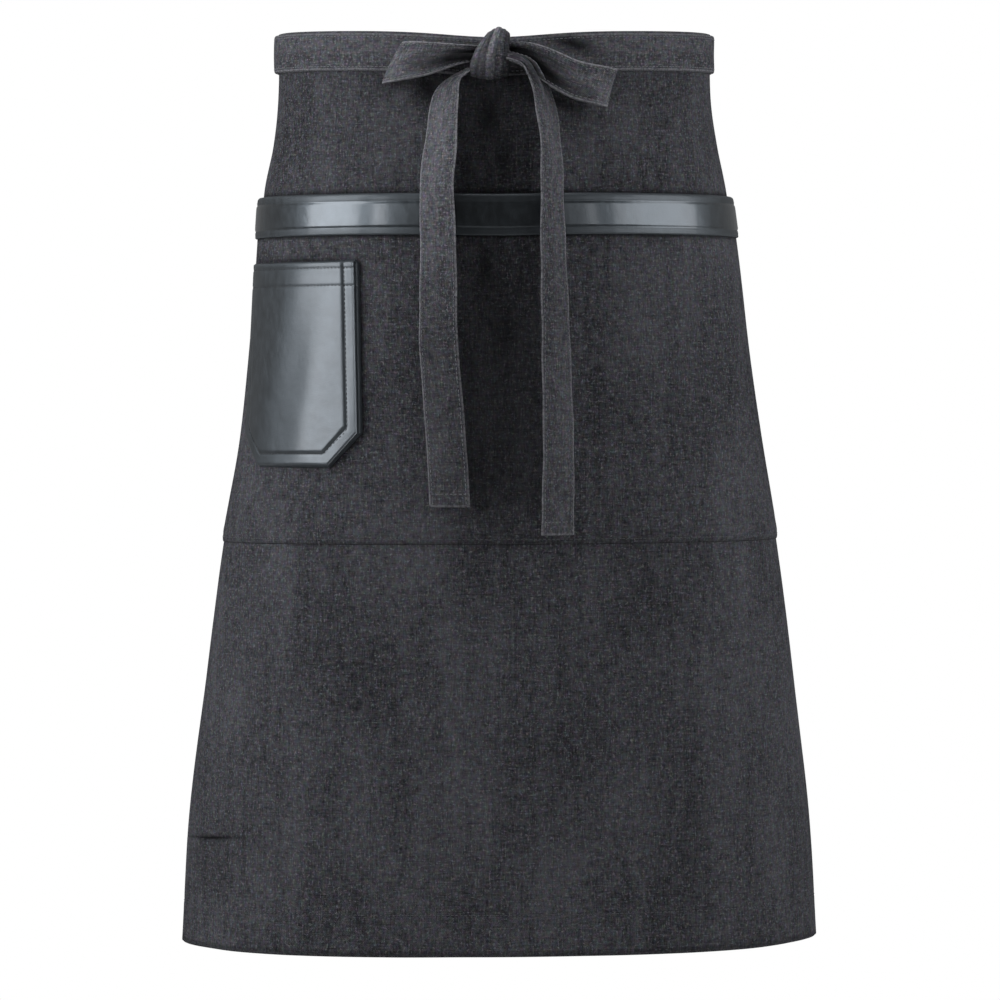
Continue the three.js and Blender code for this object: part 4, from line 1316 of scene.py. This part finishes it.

# %% [markdown]
# ## Bow knot
#
# A knot in a flat tie is the strip pulled narrow and wrapped over, so its front is a bundle of upright
# pleats that draw together towards the top. Tying it with a simulation would be slow, and most of it is
# hidden. Instead each pleat is a flattened tube that runs up the front and over both ends, and the
# tubes overlap, which leaves the same sharp dark lines between them. Painted shade darkens each strand
# along its sides and towards its lower end, and each strand has its own painted light, brighter or darker.

# %% Bow knot
KNOT_HALF_DEPTH = 11 * MM
KNOT_HALF_HEIGHT = 18 * MM
KNOT_SIDE = -3 * MM
STRAND_THICKNESS = 2.7 * MM
STRAND_REACH = 112  # degrees, up and down from the front
STRAND_STEPS, STRAND_SIDES = 64, 28
STRAND_SINK_FRONT, STRAND_SINK_ENDS = 2.6, 2.4  # mm that a strand's middle lies inside the knot's size
STRANDS = [
    # place across at the bottom and the top, half width, how far forward: mm, and its painted light
    (-11.0, 0.5, 4.3, -0.6, 1.55),
    (-6.2, 3.6, 4.6, 0.6, 1.0),
    (-0.2, 6.6, 4.8, 1.3, 1.75),
    (5.8, 9.8, 4.4, 0.5, 1.1),
    (10.6, 12.0, 3.9, -0.7, 0.6),
]
knot_off = wrap_off + TIE + GAP + KNOT_HALF_DEPTH
knot_middle = layer_point(KNOT_SIDE, WAISTBAND_HEIGHT / 2, knot_off) + np.array([0, 0, KNOT_DIP / 2])


def lofted(rings):
    """Points and faces of a closed tube through rings, all of one size."""
    count, size = rings.shape[:2]
    index = np.arange(count * size).reshape(count, size)
    following = np.roll(index, -1, axis=1)
    sides = np.stack([index[:-1], following[:-1], following[1:], index[1:]], -1).reshape(-1, 4)
    first, last = np.full(size, count * size), np.full(size, count * size + 1)
    low = np.stack([first, following[0], index[0], first], -1)
    high = np.stack([last, index[-1], following[-1], last], -1)
    points = np.concatenate([rings.reshape(-1, 3), [rings[0].mean(0), rings[-1].mean(0)]])
    return points, np.concatenate([sides, low, high])


def strand(low, high, half_width, forward, light, phase):
    """One turn of the tie over the knot, gathered to a thick rounded strand."""
    bend = np.radians(np.linspace(-STRAND_REACH, STRAND_REACH, STRAND_STEPS))[:, None]
    round_it = np.linspace(0, 2 * np.pi, STRAND_SIDES + 1)[None, :-1]
    up = (np.sin(bend) + 1) / 2
    swell = 1 - 0.3 * up**2 + 0.06 * np.sin(3 * bend + phase)
    across = np.sign(np.cos(round_it)) * np.abs(np.cos(round_it)) ** 0.8 * half_width * swell
    crease = 0.35 * np.cos(3 * np.pi * np.cos(round_it) + phase) * (np.sin(round_it) > 0)
    out = (np.sin(round_it) + 0.12 * crease) * STRAND_THICKNESS / MM + forward
    x = mix(low, high, up**2.3) + across
    y = -(KNOT_HALF_DEPTH / MM - STRAND_SINK_FRONT + out) * np.cos(bend)
    z = (KNOT_HALF_HEIGHT / MM - STRAND_SINK_ENDS + out) * np.sin(bend) - 0.22 * np.abs(x - 7) * up
    rings = np.stack(np.broadcast_arrays(x, y, z), -1) * MM + knot_middle
    # Painted shade along each strand's sides and towards its lower end, times the strand's painted light.
    between = 1 - 0.8 * smooth((np.abs(across) / half_width - 0.4) / 0.6)
    below = 1 - 0.35 * smooth((-np.sin(bend) - 0.1) / 0.8)
    across_it, down_it = across * MM + low * 3 * MM, bend * KNOT_HALF_HEIGHT
    layers = []
    for values in (across_it, down_it, (half_width - np.abs(across)) * MM, between * below * light):
        spread = np.broadcast_to(values, rings.shape[:2]).ravel()
        layers.append(np.append(spread, spread[:2]))
    return *lofted(rings), layers


strands = [strand(*row, phase) for phase, row in enumerate(STRANDS)]
starts = np.cumsum([0] + [len(points) for points, _, _ in strands])
knot = make_object(
    "bow_knot_cloth",
    np.concatenate([points for points, _, _ in strands]),
    np.concatenate([faces + start for (_, faces, _), start in zip(strands, starts)]),
    tie_denim,
    [np.concatenate(values) for values in zip(*[layers for _, _, layers in strands])],
)
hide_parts("bow_knot")
print("knot at", np.round(knot_middle / MM))

# %% [markdown]
# ## Bow loops
#
# A loop is the tie led out from the knot, turned back and led in again. Its two edges run different
# ways, so they are two curves with a sheet spanned between them. Close to the knot the strip is
# gathered to a third of its width, and waves across it, strongest there, stand for those gathers.
# The table of creases also paints shade into the cloth's colour where a crease lies deep.

# %% Bow loops
LOOP_HALF_DEPTH = 8 * MM
LOOP_SWEEP = 15 * MM
LOOP_COLUMNS = "up_out low_out up low front"
LEFT_LOOP = [
    (0.10, 0.10, 0.18, -0.18, 0.35),
    (0.30, 0.30, 0.21, -0.28, 0.80),
    (0.50, 0.55, 0.25, -0.50, 1.00),
    (0.70, 0.82, 0.29, -0.63, 0.95),
    (0.81, 1.00, 0.30, -0.70, 0.00),
]
RIGHT_LOOP = [
    (0.10, 0.10, 0.22, -0.14, 0.35),
    (0.28, 0.25, 0.26, -0.30, 0.80),
    (0.46, 0.42, 0.12, -0.68, 1.00),
    (0.70, 0.64, -0.19, -1.06, 1.00),
    (0.90, 0.83, -0.31, -1.22, 0.80),
    (1.00, 0.92, -0.36, -1.28, 0.00),
]
GATHER = 1.6 * MM
GATHER_START, GATHER_REACH = 0.1, 0.2
LOOP_PLEATS, LOOP_PLEAT_PHASE = 2.6, 0.12
LOOP_CURL = 0.9 * MM
LOOP_CREASES = {
    # across at the knot and at its end, half breadth, depth in mm, how far out it ends
    -1: [
        (-0.14, -0.06, 0.15, -5.5, 0.85),
        (0.24, 0.30, 0.09, -2.4, 0.65),
        (-0.36, -0.32, 0.06, 1.6, 0.80),
    ],
    1: [
        (-0.16, -0.42, 0.27, -6.0, 0.85),
        (0.27, 0.20, 0.09, -2.2, 0.70),
        (-0.40, -0.38, 0.06, 1.4, 0.60),
    ],
}
# Creases this deep get the full painted shade.
FULL_SHADE_DEPTH = 5.5  # the depth in mm of a crease that is fully shaded
REAR_CREASE_SHARE = 0.35
# Painted shade in the hollows of the loops near the knot.
LOOP_HOLLOWS = {
    # across, out, half breadth, half length, depth of the painted shade
    -1: [(-0.10, 0.26, 0.16, 0.20, 0.35)],
    1: [(-0.30, 0.36, 0.30, 0.15, 0.85)],
}
# Painted light over the whole loop, and the share of it that the deepest painted shade takes off.
LOOP_LIGHT, LOOP_SHADE = 1.2, 1.12


def loop_rails(values, side, length):
    """The lower and the upper edge of a loop, each a curve through the bends."""

    def rail(out, height):
        back = LOOP_SWEEP * values[out] ** 2 - LOOP_HALF_DEPTH * values["front"]
        return np.stack([side * values[out] * length, back, TIE_WIDTH * values[height]], -1)

    return rail("low_out", "low"), rail("up_out", "up")


def loop_creases(side, across, out, front_share):
    """How far the creases push a place on a loop, and how deep in painted shade it lies."""
    push, deep = 0.0, 0.0
    for at_knot, at_end, breadth, depth, reach in LOOP_CREASES[side]:
        way = np.clip(np.abs(out) / reach, 0, 1)
        offset = across - mix(at_knot, at_end, way)
        crease = bell(offset / (breadth * (0.6 + 0.8 * way)))
        push = push + depth * MM * crease * (1 - way) ** 0.7 * front_share
        shade = bell(offset / (breadth * (2.6 - 1.6 * way)))
        deep = deep + max(0, -depth) / FULL_SHADE_DEPTH * shade * (1 - way) ** 0.4
    for place, reach, breadth, half_length, depth in LOOP_HOLLOWS[side]:
        from_middle = bell((across - place) / breadth) * bell((np.abs(out) - reach) / half_length)
        deep = deep + depth * from_middle
    return push, deep


# %% Making both loops
def make_loop(name, node, rows, side, length):
    rear = [(*row[:4], -row[4]) for row in rows[-2::-1]]
    bends = np.array([*rows, *rear])
    curve = table("at " + LOOP_COLUMNS, np.column_stack([np.linspace(0, 1, len(bends)), bends]))
    t = tight_steps(0.0, 1.0, 0.0125, edge=0.004)
    values = {column: read(curve, column, t) for column in LOOP_COLUMNS.split()}
    low, up = loop_rails(values, side, length)
    v = tight_steps(-TIE_WIDTH / 2, TIE_WIDTH / 2, 1.3 * MM)
    share = (v / TIE_WIDTH + 0.5)[:, None]
    middles = mix(low[None], up[None], share[..., None]) + knot_middle
    vv, tt = grid(v, t)
    across, out = vv / TIE_WIDTH, mix(values["low_out"], values["up_out"], share)
    gathered = np.exp(-(np.abs(out) - GATHER_START) / GATHER_REACH)
    wave = np.cos(2 * np.pi * (LOOP_PLEATS * across + LOOP_PLEAT_PHASE))
    push, deep = loop_creases(side, across, out, np.where(t < 0.5, 1.0, REAR_CREASE_SHARE)[None])
    curl = LOOP_CURL * (2 * across) ** 2 * (1 - gathered)
    relief = GATHER * gathered * wave + curl + push
    middles = middles + grid_normal(middles) * relief[..., None]
    total = np.linalg.norm(np.diff(middles[len(v) // 2], axis=0), axis=-1).sum()
    sheet = sheet_round(middles, TIE, vv, tt * total)
    # Painted shade in the gathers near the knot too; painted light over the loop, with the edges spared
    # most of the painted shade.
    deep = np.clip(deep + 0.35 * gathered * (0.5 - 0.5 * wave), 0, 1)
    sheet.dye = LOOP_LIGHT - LOOP_SHADE * deep * (1 - 0.8 * bell(sheet.edge / (1.6 * MM)))
    sheet.inner_dye = sheet.dye
    press_strip(sheet, strip_relief(vv, TIE_WIDTH))
    loop = make_cloth(name, sheet, tie_denim)
    stitches = strip_stitches(name.replace("cloth", "stitches"), sheet, TIE_WIDTH)
    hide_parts(node)
    print(name, round(total / MM), "mm of tie")


make_loop("bow_loop_left_cloth", "bow_loop_left", LEFT_LOOP, -1, 80 * MM)
make_loop("bow_loop_right_cloth", "bow_loop_right", RIGHT_LOOP, 1, 93 * MM)

# %% [markdown]
# ## Tails
#
# The ends of the ties hang from the knot, each turned a little edge-on, until they rest against the
# pocket. Each has a table of bends, the same as its solid's. They leave the knot gathered and open out
# to their full width, and a narrow hem closes each end. Painted light falls off down their length, and
# painted shade darkens them where they are gathered.

# %% Tails
TAIL_COLUMNS = "down side off turn width"
TAIL_SIDE = 46 * MM
TAIL_REST = 1.5 * MM
TAIL_RISE = 60 * MM
LEFT_TAIL = [
    (0.000, -0.38, 1.00, 60, 0.45),
    (0.025, -0.62, 0.95, 52, 0.65),
    (0.070, -0.74, 0.80, 44, 0.88),
    (0.190, -0.83, 0.45, 38, 1.00),
    (0.300, -0.90, 0.22, 34, 1.00),
    (0.600, -0.98, 0.05, 22, 1.00),
    (0.760, -0.93, 0.00, 16, 1.00),
    (1.000, -0.83, 0.00, 12, 1.00),
]
RIGHT_TAIL = [
    (0.000, 0.04, 1.50, 15, 0.30),
    (0.020, 0.43, 2.00, 25, 0.34),
    (0.045, 0.57, 2.05, 36, 0.42),
    (0.090, 0.71, 1.70, 52, 0.70),
    (0.140, 0.79, 1.30, 60, 1.00),
    (0.200, 0.83, 0.90, 60, 1.00),
    (0.290, 0.86, 0.50, 57, 1.00),
    (0.500, 0.91, 0.20, 50, 1.00),
    (0.720, 0.93, 0.00, 44, 1.00),
    (1.000, 0.93, 0.00, 38, 1.00),
]
TAIL_HEM = 9 * MM
TAIL_PLEAT = 2.6 * MM
TAIL_PLEATS, TAIL_PLEAT_PHASE = 1.9, 0.3
TAIL_STEP = 3.5 * MM


def tail_way(rows, t, start, drop):
    """A tail's middle line, its direction across, and its share of the full width."""
    curve = table(TAIL_COLUMNS, rows)
    side, off_share, turn, width = [read(curve, column, t) for column in TAIL_COLUMNS.split()[1:]]
    down = WAISTBAND_HEIGHT / 2 + start + t * drop
    along, turned = TAIL_SIDE * side, np.radians(turn)
    over_trim = GAP + CLOTH + gape_at(along, down) + GAP + LEATHER
    behind = over_trim * smooth((down - POCKET_TOP) / TAIL_RISE + 1)
    resting = behind + TAIL_REST + TIE / 2 + TIE_WIDTH * width / 2 * np.sin(turned)
    off = mix(resting, np.maximum(resting, knot_off), off_share)
    inwards = -np.sign(along[-1])
    across = np.stack([inwards * np.cos(turned), -np.sin(turned), np.zeros_like(turned)], -1)
    return layer_point(along, down, off), across, width


# %% Making both tails
def make_tail(name, node, rows, start, drop, lights):
    near_knot = np.linspace(0, 0.15, 28)
    t = np.unique(np.concatenate([tight_steps(0, 1, TAIL_STEP / drop, edge=0.003), near_knot]))
    middle, across, width = tail_way(rows, t, start, drop)
    vv, tt = grid(tight_steps(-TIE_WIDTH / 2, TIE_WIDTH / 2, 1.4 * MM), t)
    middles = middle[None] + across[None] * (vv * width[None])[..., None]
    gathered = np.clip(1 - width, 0, 1)[None]
    pleat = TAIL_PLEAT * gathered * np.cos(2 * np.pi * (TAIL_PLEATS * vv / TIE_WIDTH + TAIL_PLEAT_PHASE))
    bow = 0.8 * MM * np.cos(np.pi * vv / TIE_WIDTH) * np.sin(2 * np.pi * tt * 1.7 + start / MM)
    ripple = 0.35 * MM * np.sin(2 * np.pi * tt * drop / (47 * MM) + 3 * vv / TIE_WIDTH)
    middles = middles + grid_normal(middles) * (pleat + bow + ripple)[..., None]
    sheet = sheet_round(middles, TIE, vv, tt * drop)
    # Painted light falling off down the tail, and painted shade where it is gathered.
    sheet.dye = mix(*lights, smooth((tt - 0.25) / 0.5)) * (1 - 0.3 * gathered)
    sheet.inner_dye = sheet.dye
    hem = TAIL_HEM - (1 - tt) * drop
    hem_relief = 0.3 * MM * smooth(hem / (1 * MM)) - 0.35 * MM * bell(hem / (0.9 * MM))
    press_strip(sheet, strip_relief(vv, TIE_WIDTH) + hem_relief)
    tail = make_cloth(name, sheet, tie_denim)
    seams = []
    for inner in (False, True):
        seams += strip_seams(sheet, TIE_WIDTH, inner)
        seams.append(across_seam(sheet, drop - TAIL_HEM, inner=inner))
    stitches = make_stitches(name.replace("cloth", "stitches"), seams, tie_thread)
    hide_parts(node)


# The last pair is the painted light near the knot and lower down.
make_tail("tie_tail_left_cloth", "tie_tail_left", LEFT_TAIL, 11 * MM, 329 * MM, (1.2, 0.7))
make_tail("tie_tail_right_cloth", "tie_tail_right", RIGHT_TAIL, -2 * MM, 363 * MM, (0.95, 0.82))
